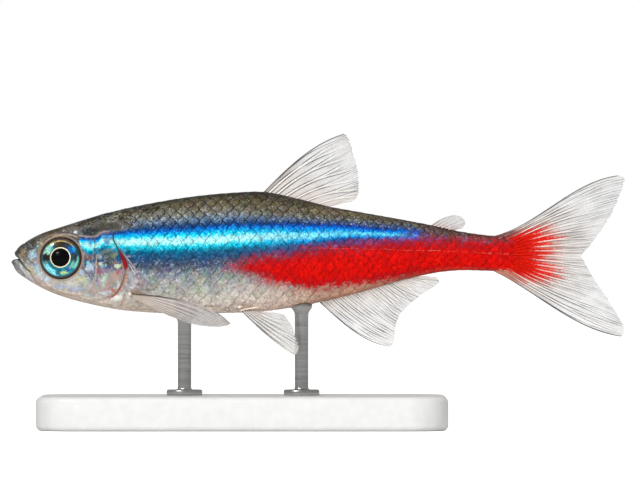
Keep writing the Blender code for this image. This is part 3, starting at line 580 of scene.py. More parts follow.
# Colours of the bare head and of the paired fins' roots, some of them painted shade and highlight, as soft
# dabs:
# place, half length, half height, lean in degrees, hex colour, strength
HEAD_DABS = (
    (0.39, -0.64, 0.24, 0.36, 0, "#383535", 0.92),
    (0.60, -0.42, 0.26, 0.14, -30, "#3E3832", 0.85),
    (0.82, -0.19, 0.18, 0.13, 0, "#342A22", 0.90),
    (1.24, -0.06, 0.30, 0.15, 25, "#3C2F1E", 0.88),
    (2.54, 0.62, 1.34, 0.18, 17, "#302412", 0.95),
    (2.09, 0.32, 1.03, 0.12, 22, "#5A4424", 0.68),
    (3.44, 0.62, 0.40, 0.11, 5, "#74633E", 0.60),
    (2.99, 0.44, 0.58, 0.07, -4, "#584848", 0.70),
    (1.69, -0.19, 0.14, 0.27, -25, "#785C34", 0.60),
    (4.62, 0.50, 0.82, 0.36, 4, "#20262A", 0.97),
    (5.54, 0.78, 0.70, 0.33, 0, "#302C20", 0.88),
    (5.32, 0.97, 0.54, 0.13, 0, "#52482E", 0.60),
    (6.48, 0.80, 0.50, 0.30, 0, "#33322A", 0.80),
    (3.75, 0.44, 0.13, 0.11, 0, "#BFD0DA", 0.95),
    (3.82, 0.24, 0.13, 0.10, 0, "#6C665C", 0.80),
    (1.24, -0.86, 0.28, 0.29, 0, "#A6CDE2", 0.95),
    (1.31, -0.59, 0.16, 0.12, 0, "#8FA6B0", 0.70),
    (0.89, -0.82, 0.10, 0.18, 0, "#8A7048", 0.80),
    (0.66, -0.82, 0.16, 0.40, 18, "#80653F", 0.80),
    (0.77, -1.22, 0.12, 0.27, 22, "#6A5030", 0.75),
    (1.15, -1.80, 0.13, 0.49, 24, "#BFA47C", 0.80),
    (1.47, -2.30, 0.13, 0.40, 30, "#CDB090", 0.80),
    (1.11, -1.40, 0.13, 0.13, 0, "#5C6484", 0.75),
    (1.51, -1.65, 0.16, 0.28, 12, "#93C8D8", 0.90),
    (1.61, -1.95, 0.11, 0.16, 10, "#B4ECF0", 0.90),
    (1.33, -1.44, 0.12, 0.09, 0, "#7C8CB4", 0.80),
    (1.91, -1.91, 0.13, 0.12, 0, "#CFC6E4", 0.90),
    (2.09, -2.25, 0.29, 0.20, 12, "#D6ECF4", 0.95),
    (2.45, -2.43, 0.31, 0.15, 10, "#D2CBBE", 0.80),
    (3.17, -2.52, 0.67, 0.21, 0, "#C9C2B6", 0.80),
    (2.90, -2.74, 0.67, 0.15, 6, "#B6BEDC", 0.85),
    (3.80, -2.88, 0.55, 0.18, 4, "#AEB4D8", 0.85),
    (3.57, -2.56, 0.49, 0.18, 0, "#CFCDBE", 0.80),
    (4.18, -2.30, 0.38, 0.26, -35, "#CBD2A6", 0.85),
    (3.80, -2.30, 0.27, 0.15, 0, "#D2CFA8", 0.70),
    (4.47, -2.65, 0.31, 0.27, -40, "#C2C0B6", 0.80),
    (4.07, -1.85, 0.28, 0.15, -42, "#BCCAE8", 0.90),
    (4.54, -1.62, 0.20, 0.31, -38, "#B4D4E4", 0.90),
    (4.50, -1.35, 0.18, 0.12, -20, "#80D0DC", 0.90),
    (4.78, -1.58, 0.11, 0.36, 0, "#A9B8C8", 0.80),
    (4.51, -1.04, 0.30, 0.16, -10, "#87523A", 0.92),
    (4.29, -0.82, 0.22, 0.09, 0, "#8A7C7C", 0.75),
    (4.78, -0.95, 0.12, 0.18, 0, "#70545A", 0.80),
    (5.19, -0.95, 0.21, 0.20, 0, "#8C9EA6", 0.95),
    (5.68, -0.95, 0.49, 0.30, 0, "#36443C", 0.95),
    (5.59, -0.64, 0.40, 0.11, 8, "#5E7A66", 0.85),
    (6.04, -0.86, 0.27, 0.13, 40, "#7A8A58", 0.85),
    (5.19, -1.40, 0.15, 0.12, -20, "#DCD690", 0.95),
    (5.32, -1.51, 0.18, 0.11, 30, "#94CCD0", 0.90),
    (5.63, -1.58, 0.30, 0.16, 0, "#3E4E80", 0.92),
    (5.77, -1.35, 0.31, 0.18, 0, "#343F3A", 0.92),
    (6.26, -1.53, 0.26, 0.13, 20, "#D4E4A2", 0.95),
    (6.04, -1.35, 0.16, 0.10, 0, "#8C6048", 0.80),
    (5.16, -1.85, 0.21, 0.25, 0, "#A25870", 0.95),
    (5.54, -1.85, 0.27, 0.20, 0, "#8C7490", 0.85),
    (6.04, -2.12, 0.40, 0.36, 0, "#B89C8C", 0.90),
    (6.30, -1.89, 0.16, 0.13, 40, "#C24E5C", 0.90),
    (5.41, -2.30, 0.15, 0.38, -32, "#BCD6BC", 0.95),
    (5.14, -2.52, 0.13, 0.27, 0, "#B893AC", 0.90),
    (5.72, -2.52, 0.27, 0.27, 0, "#B09490", 0.85),
    (5.54, -2.88, 0.40, 0.15, 12, "#B88C92", 0.85),
    (5.97, -2.94, 0.14, 0.15, 0, "#C4624A", 0.95),
    (6.26, -2.70, 0.11, 0.29, -20, "#E4E2DE", 0.90),
    (5.32, -3.12, 0.31, 0.10, 0, "#C0D6E0", 0.90),
    (5.81, -3.19, 0.27, 0.08, 10, "#C8B8B4", 0.80),
    (0.30, -1.49, 0.22, 0.40, 20, "#7E8084", 0.85),
    (0.10, -1.27, 0.11, 0.18, 15, "#55565A", 0.90),
    (0.66, -1.85, 0.27, 0.27, 35, "#92929C", 0.85),
    (1.02, -2.25, 0.27, 0.18, 35, "#C6C2CA", 0.80),
    (0.57, -2.16, 0.27, 0.12, 35, "#8C8A90", 0.70),
    (2.09, -2.88, 0.72, 0.12, -26, "#DCC2A4", 0.80),
    (3.80, -3.46, 1.16, 0.17, -14, "#E8D0BC", 0.85),
    (4.38, -3.21, 0.31, 0.09, -10, "#DCE2EA", 0.90),
    (4.78, -2.97, 0.12, 0.27, 0, "#C8A894", 0.80),
    (6.35, -3.46, 0.40, 0.12, 18, "#F0E8DA", 0.85),
    (5.49, -3.66, 0.73, 0.13, -5, "#F2DECC", 0.85),
    (6.12, -3.38, 0.46, 0.15, 20, "#FFFFFF", 0.92),
    (6.85, -3.75, 0.60, 0.20, 0, "#E6D4C2", 0.70),
    (7.00, -2.20, 0.17, 0.55, 12, "#BFC0CC", 0.70),
    (7.20, -2.45, 0.14, 0.40, 16, "#C8B6B4", 0.60),
    # Painted shadow: brown shade behind the pectoral fin's root knob
    (7.30, -3.00, 0.34, 0.16, 0, "#A98468", 0.80),
    (7.02, -2.80, 0.16, 0.10, 0, "#E6E8F0", 0.85),
    # The pectoral fin's root knob: its pale colour, partly a painted highlight on it
    (6.95, -3.14, 0.17, 0.14, 0, "#FAEEE4", 0.95),
    (5.60, -0.10, 0.24, 0.24, 20, "#0668A8", 0.80),
    (5.50, 0.16, 0.26, 0.09, 10, "#122C98", 0.80),
    (5.85, 0.10, 0.18, 0.12, 0, "#0A50B0", 0.70),
    (5.98, -0.46, 0.12, 0.10, 0, "#6AE8F4", 0.70),
    (4.64, -0.20, 0.11, 0.26, 0, "#0674AC", 0.75),
    (4.95, -0.54, 0.24, 0.09, 8, "#0A5878", 0.70),
    (5.10, -0.20, 0.16, 0.18, 0, "#A8FAFC", 0.60),
    (4.40, -0.22, 0.20, 0.16, 0, "#A8FAFC", 0.50),
    # Painted shade: tan shade on the flank over the pelvic fin's root
    (13.60, -3.78, 0.70, 0.16, -8, "#BFA088", 0.70),
)
# Places on the head that are thick with mirror cells: place, half length, half height, strength
GLEAMS = (
    (1.24, -0.86, 0.29, 0.29, 0.75),
    (1.56, -1.80, 0.20, 0.40, 0.90),
    (2.09, -2.25, 0.33, 0.27, 1.00),
    (3.17, -2.70, 1.07, 0.31, 0.65),
    (4.18, -2.30, 0.43, 0.38, 0.90),
    (4.47, -1.58, 0.40, 0.58, 1.00),
    (5.19, -0.95, 0.22, 0.22, 0.90),
    (5.68, -1.00, 0.63, 0.45, 0.45),
    (5.32, -1.47, 0.40, 0.22, 1.00),
    (6.26, -1.53, 0.30, 0.18, 1.00),
    (5.41, -2.30, 0.29, 0.43, 1.00),
    (5.59, -2.97, 0.58, 0.27, 0.60),
    (6.26, -2.70, 0.18, 0.38, 0.80),
    (4.51, 0.53, 0.58, 0.25, 0.10),
    (5.72, 0.80, 0.67, 0.36, 0.08),
    (7.02, -2.25, 0.25, 0.60, 0.75),
    (4.51, -1.04, 0.31, 0.18, 0.60),
    (6.04, -2.12, 0.40, 0.40, 0.40),
)
# Lines on the head, a few of them painted shade: line, half width, hex colour, strength
HEAD_STROKES = (
    (softened(((2.45, 0.21), (2.86, 0.32), (3.30, 0.32), (3.80, 0.21))), 0.050, "#B89C80", 0.75),
    (softened(((2.86, 0.45), (3.26, 0.44), (3.62, 0.37), (3.93, 0.25))), 0.045, "#453848", 0.80),
    (softened(((1.56, -0.80), (1.60, -0.45), (1.86, 0.00), (2.30, 0.26), (2.70, 0.34))),
     0.055, "#A88A5C", 0.70),
    (softened(((4.18, -0.19), (4.24, -0.59), (4.22, -1.22), (4.07, -1.67), (3.71, -2.03))),
     0.030, "#B4A090", 0.80),
    (softened(((0.73, -0.21), (0.77, -0.50), (0.84, -0.68), (0.86, -0.95), (1.04, -1.20), (1.29, -1.35))),
     0.042, "#3E3634", 0.80),
    (PREOPERCLE[15:52], 0.036, "#D2AC92", 0.95),
    (PREOPERCLE[:16], 0.038, "#1C2228", 0.85),
    (softened(((3.93, 0.28), (4.51, 0.19), (4.92, 0.21), (5.32, 0.46), (5.72, 0.50))),
     0.034, "#B49CA0", 0.85),
    (softened(((5.32, 0.36), (5.59, 0.37), (5.81, 0.44))), 0.034, "#5A2A6A", 0.80),
    (GILL_PLATE_SEAM, 0.036, "#CFA098", 0.75),
    (softened(((5.00, -0.90), (4.96, -1.81), (4.90, -2.48), (4.92, -2.90), (5.19, -3.17))),
     0.038, "#C9A892", 0.80),
    (GILL_PLATE[20:62], 0.036, "#E4C4B6", 0.80),
    (GILL_SKIN, 0.075, "#CC987C", 0.85),
    (softened(((6.66, -1.66), (6.66, -1.92), (6.60, -2.24))), 0.032, "#B4503C", 0.80),
    (softened(((6.60, -2.24), (6.46, -2.56), (6.22, -3.00), (5.88, -3.34))), 0.038, "#942C20", 0.90),
    (softened(((6.62, -3.12), (6.55, -3.45), (6.40, -3.80))), 0.055, "#B4745E", 0.70),
    # Painted shadow: a brown streak behind the pectoral fin's root knob
    (softened(((7.02, -3.02), (7.40, -3.10), (7.90, -3.16))), 0.060, "#B08A6A", 0.75),
    # Painted shade: a dark line along the upper part of the gill slit
    (softened(((5.97, 0.42), (5.98, 0.01), (6.17, -0.37), (6.34, -0.72))), 0.052, "#0C2C40", 0.95),
    (SHOULDER, 0.045, "#CDB8B8", 0.85),
    (softened(((6.36, -0.55), (6.62, -0.98), (6.86, -1.42))), 0.070, "#6C6A88", 0.65),
    (softened(((6.92, -1.45), (7.15, -1.85), (7.31, -2.28), (7.26, -2.59), (6.99, -2.80))),
     0.036, "#E8E0E8", 0.80),
    # Painted shade: a dark line along the slit of the mouth
    (MOUTH[10:], 0.045, "#30261F", 0.92),
    (softened(((1.07, -1.83), (1.26, -2.14), (1.44, -2.42))), 0.030, "#7A5C40", 0.70),
    (softened(((0.03, -1.35), (0.26, -1.80), (0.66, -2.18), (1.24, -2.52))), 0.050, "#5C5A5E", 0.60),
    (softened(((0.50, -1.56), (0.86, -2.02), (1.30, -2.38))), 0.045, "#E8E6EC", 0.75),
    (CHEEK_SEAMS[0], 0.034, "#7A6E78", 0.60),
    (CHEEK_SEAMS[1], 0.030, "#8A8486", 0.40),
)
# The places of painted edges stray by this much, in millimetres
STRAY = 0.022
# Dabs, lines and gleams fade out between these shares of their half size
DAB_FADE, LINE_FADE, GLEAM_FADE = (1.38, 0.40), (1.5, 0.4), (1.15, 0.6)
# Behind the gill slit only the pelvic fins' roots are dabbed
HEAD_FADE, PELVIC_PART = (1.10, 0.60), ((12.6, 12.9), (15.2, 14.9))
# The nostril's hole lies off its middle
NOSTRIL_HOLE = (0.03, 0.02)


def dab_head(piece, s, h):
    """Lays the head's dabs and lines over each other, as a colour and how much it covers."""
    colour, cover = np.full((len(s), 3), 0.3), np.zeros(len(s))
    stray_s = s + STRAY * (np.sin(14.1 * h + 3.7 * s) + 0.7 * np.sin(31.0 * h - 19.0 * s))
    stray_h = h + STRAY * (np.sin(15.3 * s - 4.1 * h) + 0.7 * np.sin(28.0 * s + 21.0 * h))
    from_nostril = np.hypot(s - NOSTRIL[0], h - NOSTRIL[1])
    in_nostril = np.hypot(s - NOSTRIL[0] - NOSTRIL_HOLE[0], h - NOSTRIL[1] - NOSTRIL_HOLE[1])
    from_eye = np.hypot(s - EYE_PLACE[0], h - EYE_PLACE[1])
    coats = []
    for at_s, at_h, along, up, lean, code, strength in HEAD_DABS:
        lean = math.radians(lean)
        ds, dh = stray_s - at_s, stray_h - at_h
        a, b = ds * math.cos(lean) + dh * math.sin(lean), dh * math.cos(lean) - ds * math.sin(lean)
        coats.append((code, strength * ease(np.hypot(a / along, b / up), *DAB_FADE)))
    for line, half, code, strength in HEAD_STROKES:
        coats.append((code, strength * ease(off_line(s, h, line) / half, *LINE_FADE)))
    coats += [
        ("#A8141A", 0.97 * ease(within(s, h, GILL_OPENING), -0.03, 0.03)),
        ("#2E2A28", 0.90 * ease(from_nostril, 0.24, 0.19)),
        ("#847C78", 0.90 * ease(from_nostril, 0.150, 0.115)),
        # Painted shade: the nostril's hole is dark inside
        ("#1C1918", 0.92 * ease(in_nostril, 0.085, 0.055)),
        ("#A08A76", 0.85 * ease(from_eye, 1.38, 1.31)),
        # Painted shade: the orbit's wall round the eyeball, and the skin sunk under it, are darker
        ("#8A7460", 0.85 * ease(from_eye, 1.265, 1.235)),
    ]
    for code, share in coats:
        colour = colour + (np.array(paint(code)[:3]) - colour) * share[:, None]
        cover = cover + (1 - cover) * share
    gleam = np.zeros(len(s))
    for at_s, at_h, along, up, strength in GLEAMS:
        off = np.hypot((stray_s - at_s) / along, (stray_h - at_h) / up)
        gleam = np.maximum(gleam, strength * ease(off, *GLEAM_FADE))
    by_pelvic = ease(s, *PELVIC_PART[0]) * ease(s, *PELVIC_PART[1])
    fade = np.maximum(ease(past_gill(s, h), *HEAD_FADE), by_pelvic)
    gleam = gleam * fade * ease(from_eye, 1.34, 1.44)
    record(piece, dabs=np.column_stack((colour, cover * fade)), gleam=gleam)


# Living skin and scales, wet: pigment and mirror cells under a clear film. Pigment cells are dark specks
# of 0.05 mm, mirror cells are bright flecks of 0.1 mm in pastel colours, and the stripe is mirror-like.
hide, add, shader = new_finish("wet_scaled_skin")
spot = add("TexCoord", give="Object")
band, bright, red, rise, rear, gleam, rim, shade = (
    add("Attribute", give="Fac", attribute_name=name)
    for name in ("band", "bright", "red", "rise", "rear", "gleam", "rim", "shade")
)
dabs = add("Attribute", attribute_name="dabs")
dabbed = dabs.node.outputs["Alpha"]
soft = add("TexNoise", spot, 1 / (0.45 * MM), 2.0)
fine = add("TexNoise", spot, 1 / (0.13 * MM), 3.0, 0.65)
bent = add("VectorMath MULTIPLY_ADD", fine.node.outputs["Color"], (0.16 * MM,) * 3, spot)
fleck = add("SeparateColor", add("TexVoronoi", bent, 1 / (0.125 * MM), give="Color")).node.outputs
speck_middle = add("TexVoronoi", bent, 1 / (0.085 * MM))
speck = add("SeparateColor", speck_middle.node.outputs["Color"])
wobble = add("Math SUBTRACT", fine, 0.5)
drift = add("Math SUBTRACT", soft, 0.5)
at_band = add("Math MULTIPLY_ADD", drift, 0.22, add("Math MULTIPLY_ADD", wobble, 0.55, band))

# The flank by its height from the stripe: from 2 mm above its top edge to 3.5 mm under its bottom edge.
# In front the stripe is broad and white-cored over silver, and behind it is narrow and azure over violet.
BAND_LOW, BAND_HIGH = -2.0, 4.5
FRONT_TONES = (
    (-2.0, "#3E3829"), (-1.3, "#5E5640"), (-0.8, "#706D60"), (-0.5, "#647486"), (-0.25, "#2C4C72"),
    (-0.08, "#143F70"), (0.02, "#064C9C"), (0.14, "#0278D2"), (0.28, "#02BCF4"), (0.40, "#2CDEFA"),
    (0.50, "#B4FAFF"), (0.68, "#B8FEFC"), (0.80, "#30E2F2"), (0.90, "#02BEDE"), (1.0, "#0488A8"),
    (1.15, "#066088"), (1.5, "#1E4C74"), (1.9, "#454E6A"), (2.4, "#7E868E"), (3.2, "#A8A8A4"),
    (3.8, "#D0CAC0"), (4.5, "#D6CABE"),
)
REAR_TONES = (
    (-2.0, "#5A503C"), (-1.5, "#6E634C"), (-1.1, "#5C5342"), (-0.78, "#5A5852"), (-0.35, "#3C507C"),
    (-0.06, "#203A80"), (0.02, "#0A4CB4"), (0.16, "#0668D4"), (0.34, "#0C9CEC"), (0.50, "#68DCFA"),
    (0.64, "#4CCCF6"), (0.80, "#0E88DC"), (0.94, "#1458A8"), (1.05, "#3A4488"), (1.3, "#5A3A72"),
    (1.6, "#6A2E5A"), (1.9, "#8A6468"), (2.4, "#B09088"), (3.2, "#C8AC98"), (4.5, "#D0B29A"),
)
INSIDE = ((-0.25, 0.0), (-0.05, 1.0), (1.0, 1.0), (1.2, 0.0))


def band_stops(rows):
    """Ramp stops from heights on the band."""
    return [((height - BAND_LOW) / (BAND_HIGH - BAND_LOW), code) for height, code in rows]


across = add("MapRange", at_band, BAND_LOW, BAND_HIGH)
in_front, behind, inside = (
    add("ValToRGB", across, stops=band_stops(rows)) for rows in (FRONT_TONES, REAR_TONES, INSIDE)
)
lit_flank = add("Mix RGBA", rear, in_front, behind)

# The stripe's end breaks up into single cells, which turn from azure through deep blue to violet
ENDING_TONES = ((0.0, "#6A3068"), (0.25, "#5A3A90"), (0.45, "#2E4CB8"), (0.70, "#1478DC"), (1.0, "#1C9CEC"))
ending = add("MapRange", bright, 0.98, 0.60)
at_tail = add("Math GREATER_THAN", rear, 0.5)
for share in (at_tail, inside, 0.8):
    ending = add("Math MULTIPLY", ending, share)
lit_flank = add("Mix RGBA", ending, lit_flank, add("ValToRGB", bright, stops=ENDING_TONES))

# The same flank where there is no stripe: head and tail stalk, by its share of the body's height
PLAIN_TONES = (
    (0.0, "#D2BEAC"), (0.12, "#D6CABE"), (0.25, "#C0BEB8"), (0.45, "#A8ABA8"), (0.62, "#706E66"),
    (0.76, "#565040"), (0.90, "#443D2E"), (1.0, "#363026"),
)
STALK_TONES = (
    (0.0, "#B87868"), (0.3, "#A85850"), (0.55, "#8A3C40"), (0.72, "#6A3C44"), (0.84, "#66504A"),
    (0.93, "#5A4238"), (1.0, "#3A2622"),
)
at_rise = add("Math MULTIPLY_ADD", wobble, 0.10, rise)
plain, stalk = (add("ValToRGB", at_rise, stops=rows) for rows in (PLAIN_TONES, STALK_TONES))
dull_flank = add("Mix RGBA", rear, plain, stalk)
patchy = add("Math MULTIPLY_ADD", add("Math SUBTRACT", fleck[0], 0.5), 0.6, bright)
patchy = add("Math MULTIPLY_ADD", add("Math SUBTRACT", shade, 0.5), 0.5, patchy)
lit = add("MapRange", patchy, 0.15, 0.50)
tone = add("Mix RGBA", lit, dull_flank, lit_flank)

# The red lies in the skin as crowded grains in upright strokes, so its edge is ragged and its depth uneven
RED_TONES = ((0.22, "#960A0A"), (0.36, "#BA0604"), (0.50, "#D20600"), (0.64, "#E00A02"), (0.78, "#E4220E"))
upright = add("Mapping", bent, None, None, (1 / (0.13 * MM), 1 / (0.20 * MM), 1 / (0.22 * MM)))
stroke = add("TexNoise", upright, 1.0, 3.0)
grain = red
for stray, reach in ((wobble, 0.9), (add("Math SUBTRACT", stroke, 0.5), 0.8), (drift, 0.7)):
    grain = add("Math MULTIPLY_ADD", stray, reach, grain)
reddened = add("MapRange", grain, -0.36, 0.34)
red_tone = add("ValToRGB", add("Math MULTIPLY_ADD", wobble, 0.45, stroke), stops=RED_TONES)
red_tone = add("Mix RGBA", add("MapRange", grain, 0.05, 0.80), paint("#A20E1A"), red_tone)
tone = add("Mix RGBA", reddened, tone, red_tone)

# Along the belly the skin is thin and tan, and along the back it is dark
EDGE_TONES = ((0.0, "#E0CCBC"), (0.08, "#DECEC2"), (0.5, "#2A2722"), (1.0, "#201D1A"))
STALK_EDGE_TONES = (
    (0.0, "#B06450"), (0.035, "#CA8E70"), (0.10, "#CE9C80"), (0.5, "#3A2622"), (1.0, "#2A1A18"),
)
EDGE_SHARE = ((0.0, 0.92), (0.06, 0.80), (0.12, 0.0), (0.955, 0.0), (0.985, 0.70), (1.0, 0.85))
edge_tone, stalk_edge, edge_share = (
    add("ValToRGB", rise, stops=rows) for rows in (EDGE_TONES, STALK_EDGE_TONES, EDGE_SHARE)
)
edge_tone = add("Mix RGBA", add("Math POWER", rear, 2.0), edge_tone, stalk_edge)
spared = add("MapRange", reddened, 0, 1, 1.0, 0.12)
tone = add("Mix RGBA", add("Math MULTIPLY", edge_share, spared), tone, edge_tone)

# Films of mirror cells tint the silver flank and, more faintly, the back, in soft patches of 0.7 mm
FILM_SHARE = ((-2.0, 0.20), (-0.3, 0.15), (-0.05, 0.0), (1.2, 0.0), (2.1, 0.48), (3.2, 0.48), (3.8, 0.10))
film = add("TexNoise", spot, 1 / (0.70 * MM), 2.0, give="Color")
film = add("HueSaturation", None, 1.3, 1.06, None, film)
film_share = add("Math MULTIPLY", add("ValToRGB", across, stops=band_stops(FILM_SHARE)), spared)
tone = add("Mix RGBA", film_share, tone, film, blend_type="SOFT_LIGHT")

# The head's colours, with painted shade and highlights among them, broken up by the same flecks
loose = add("MapRange", add("Math MULTIPLY_ADD", wobble, 0.7, dabbed), 0.12, 0.70)
tone = add("Mix RGBA", add("Math MINIMUM", loose, dabbed), tone, dabs)

# Every cell reflects a little more or less than the next one, and so does the grit between them
GRIT_SHARE = ((-2.0, 0.9), (0.0, 1.0), (1.5, 0.9), (2.2, 0.50), (3.2, 0.30), (3.8, 0.12))
not_red = add("Math SUBTRACT", 1.0, reddened, use_clamp=True)
smoother = add("MapRange", dabbed, 0, 1, 1.0, 0.35)
celled = add("Math MULTIPLY", add("MapRange", not_red, 0, 1, 0.18, 1.0), smoother)
tone = add("Mix RGBA", celled, tone, add("MapRange", fleck[0], 0, 1, 0.72, 1.28), blend_type="MULTIPLY")
grit = add("TexNoise", spot, 1 / (0.10 * MM), 3.0, 0.7)
gritty = add("Math MULTIPLY", celled, add("ValToRGB", across, stops=band_stops(GRIT_SHARE)))
tone = add("Mix RGBA", gritty, tone, add("MapRange", grit, 0.36, 0.64, 0.70, 1.32), blend_type="MULTIPLY")

# Bright flecks of mirror cells: some on the back, many on cheek and belly, and none in the red
FLECK_TONES = (
    (0.0, "#A8D8F0"), (0.16, "#C4C4F0"), (0.32, "#E8D4F0"), (0.45, "#F4F0F0"), (0.58, "#F0E8C8"),
    (0.70, "#DCE8A0"), (0.84, "#A4E8D0"), (1.0, "#EAF6FF"),
)
FLECK_SHARE = (
    (-2.0, 0.14), (-1.2, 0.24), (-0.8, 0.42), (-0.3, 0.42), (-0.05, 0.10), (0.2, 0.08), (0.36, 0.10),
    (0.5, 0.35), (0.78, 0.12), (1.0, 0.08), (1.5, 0.22), (2.1, 0.56), (3.0, 0.66), (3.6, 0.30), (4.0, 0.06),
)
BLUER = (
    (-1.3, 0.0), (-0.6, 0.65), (-0.1, 0.85), (0.25, 0.85), (0.40, 0.0), (0.95, 0.0), (1.1, 0.8), (1.6, 0.6),
    (2.1, 0.0),
)
bluer = add("ValToRGB", across, stops=band_stops(BLUER))
for share in (bright, add("MapRange", rear, 0, 1, 1.0, 0.3)):
    bluer = add("Math MULTIPLY", bluer, share)
fleck_tone = add("ValToRGB", fleck[1], stops=FLECK_TONES)
fleck_tone = add("Mix RGBA", add("Math MULTIPLY", inside, lit), fleck_tone, paint("#D8FFFF"))
fleck_tone = add("Mix RGBA", bluer, fleck_tone, paint("#8CB4E4"))
# Dabbed places show fewer flecks, and so does the plain part of the stalk
on_stalk = add("Math MULTIPLY", add("Math SUBTRACT", 1.0, bright), at_tail)
fleck_share = add("ValToRGB", across, stops=band_stops(FLECK_SHARE))
for share in (add("MapRange", dabbed, 0, 1, 1.0, 0.06), add("Math MULTIPLY_ADD", on_stalk, -0.65, 1.0)):
    fleck_share = add("Math MULTIPLY", fleck_share, share)
fleck_share = add("Math MAXIMUM", fleck_share, gleam)
fleck_from = add("MapRange", fleck_share, 0, 1, 0.66, 0.36)
flecked = add("MapRange", fleck[2], fleck_from, 0.92)
for share in (add("MapRange", grit, 0.44, 0.62), fleck_share, 1.25):
    flecked = add("Math MULTIPLY", flecked, share)
flecked = add("Math MULTIPLY", flecked, not_red, use_clamp=True)
tone = add("Mix RGBA", flecked, tone, fleck_tone)

# Dark pigment cells: thick on the back, thin on the belly
SPECK_SHARE = (
    (-2.0, 0.60), (-0.8, 0.55), (-0.1, 0.50), (0.15, 0.30), (0.5, 0.08),
    (0.8, 0.20), (1.1, 0.60), (1.7, 0.50), (2.4, 0.26), (3.2, 0.08), (3.7, 0.0),
)
specked = add("MapRange", speck, 0.45, 0.80)
for share in (
    add("MapRange", speck_middle, 0.55, 0.22), add("ValToRGB", across, stops=band_stops(SPECK_SHARE)),
    add("MapRange", reddened, 0, 1, 0.90, 0.26),
):
    specked = add("Math MULTIPLY", specked, share)
tone = add("Mix RGBA", specked, tone, paint("#1C2026"))

# The free edge of each scale holds a dark line of pigment, strongest on the back. Towards the tail the net
# of dark lines shows through the bright stripe too.
RIM_SHARE = (
    (-2.0, 0.94), (-0.6, 0.94), (-0.1, 0.90), (0.2, 0.86), (0.5, 0.52), (0.85, 0.72),
    (1.1, 0.45), (1.8, 0.20), (3.0, 0.12), (3.5, 0.0),
)
RIM_TONES = (
    (-2.0, "#17140E"), (-0.3, "#141820"), (0.0, "#04205A"), (0.5, "#0460A0"), (0.8, "#045078"),
    (1.1, "#0A3448"), (2.0, "#3A4450"),
)
rear_net = add("Math MULTIPLY", add("Math MULTIPLY", inside, rear), 0.85)
rim_share = add("Math MAXIMUM", add("ValToRGB", across, stops=band_stops(RIM_SHARE)), rear_net)
rimmed = add("MapRange", rim, 0.80, 0.94)
for share in (
    rim_share, add("MapRange", grit, 0.38, 0.54, 0.45, 1.0), add("MapRange", reddened, 0, 1, 1.0, 0.05),
):
    rimmed = add("Math MULTIPLY", rimmed, share)
tone = add("Mix RGBA", rimmed, tone, add("ValToRGB", across, stops=band_stops(RIM_TONES)))

# Scales differ a little in tone, and painted light and shade lighten each middle and darken each free edge
DOME_LIGHT_SHARE = ((-2.0, 0.30), (-0.1, 0.25), (0.2, 0.12), (1.0, 0.10), (2.0, 0.10), (3.5, 0.0))
dome_light = add("Math MULTIPLY", add("ValToRGB", across, stops=band_stops(DOME_LIGHT_SHARE)), spared)
scale_tone_and_dome_light = add("MapRange", shade, 0, 1, 0.88, 1.12)
scale_tone_and_dome_light = add("Math MULTIPLY_ADD", add("Math SUBTRACT", 0.35, rim), dome_light, scale_tone_and_dome_light)
tone = add("Mix RGBA", 1.0, tone, scale_tone_and_dome_light, blend_type="MULTIPLY")

# The stripe's mirror cells shine most
SHINE_SHARE = ((-2.0, 0.05), (-0.1, 0.16), (0.3, 0.30), (0.7, 0.30), (1.1, 0.15), (3.0, 0.14))
shine = add("Math MULTIPLY", add("ValToRGB", across, stops=band_stops(SHINE_SHARE)), not_red)
feed(shader, Base_Color=tone, Metallic=shine, Roughness=add("MapRange", fine, 0, 1, 0.28, 0.52))
feed(shader, Normal=add("Bump", 0.35, 0.02 * MM, None, fine))
shader.inputs["Coat Weight"].default_value = 0.06
shader.inputs["Coat Roughness"].default_value = 0.12
shader.inputs["Specular IOR Level"].default_value = 0.10
shader.inputs["IOR"].default_value = 1.38

skin = new_piece(
    "skin", roll_skin(), hide, "skin",
    "head", "lower_jaw", "trunk", "tail_stalk", "gill_cover_left", "gill_cover_right",
)
# The bare skin is as light as an average scale, without a scale's painted light and shade
SKIN_SHADE, SKIN_RIM = 0.5, 0.35
evenly = np.ones(len(skin.data.vertices))
dab_head(skin, *mark(skin, shade=SKIN_SHADE * evenly, rim=SKIN_RIM * evenly))


# The scales: thin, round-edged plates of clear bone in slanting rows, each rooted in a pocket of the skin
# under the ones in front of it. They cover the trunk and the stalk, and the head has none.
# A scale is 0.9 mm long, shows about 0.6 by 0.8 mm, and keeps its dark line of pigment on the free edge.
SCALE_LONG, SCALE_WIDE = 3, 6
SCALE_FRONT, SCALE_TIP, SCALE_HALF = -0.55, 0.31, 0.46
SCALE_DEPTHS = (0.0, 0.10, 0.36, 1.0)
SCALE_THICK = 0.011
SCALE_TILT = 0.050
SCALE_LIFT = 0.034
SCALE_DOME = 0.012
ROW_SPACE = 0.40
FULL_DEPTH = 7.0
ROW_LINE = ((5.0, -0.80), (6.0, -0.75), (12.0, -0.45), (18.6, -0.45), (25.0, -0.60), (30.1, -0.85))
SCALE_PERIOD = (
    (5.0, 0.57), (8.0, 0.67), (13.0, 0.66), (16.0, 0.61), (21.0, 0.56), (26.0, 0.51), (30.1, 0.45),
)
USUAL_PERIOD = 0.60
FIRST_SCALE, LAST_SCALE = 4.9, 29.35
ROWS_DOWN, ROWS_UP = 16, 17
BARE_PAST_GILL = 0.42
# Near the mid-lines of the back and the belly the scales lie this much flatter
FLAT_TILT, FLAT_WITHIN = 0.45, (0.02, 0.16)
# Chance differences from scale to scale: turn, share of the size, lift of the tip, and twist
SCALE_CHANCE = ((0.0, 0.035), (1.0, 0.035), (0.0, 0.012), (0.0, 0.018))
RIM_WIDE = 0.30
BAKE_PATCH = (0.005, 0.005)

chance = np.random.default_rng(11)


def free_edge(up):
    """How far back the free edge of a scale reaches, at heights on the scale."""
    return SCALE_TIP - 0.34 * np.abs(up / 0.40) ** 1.75


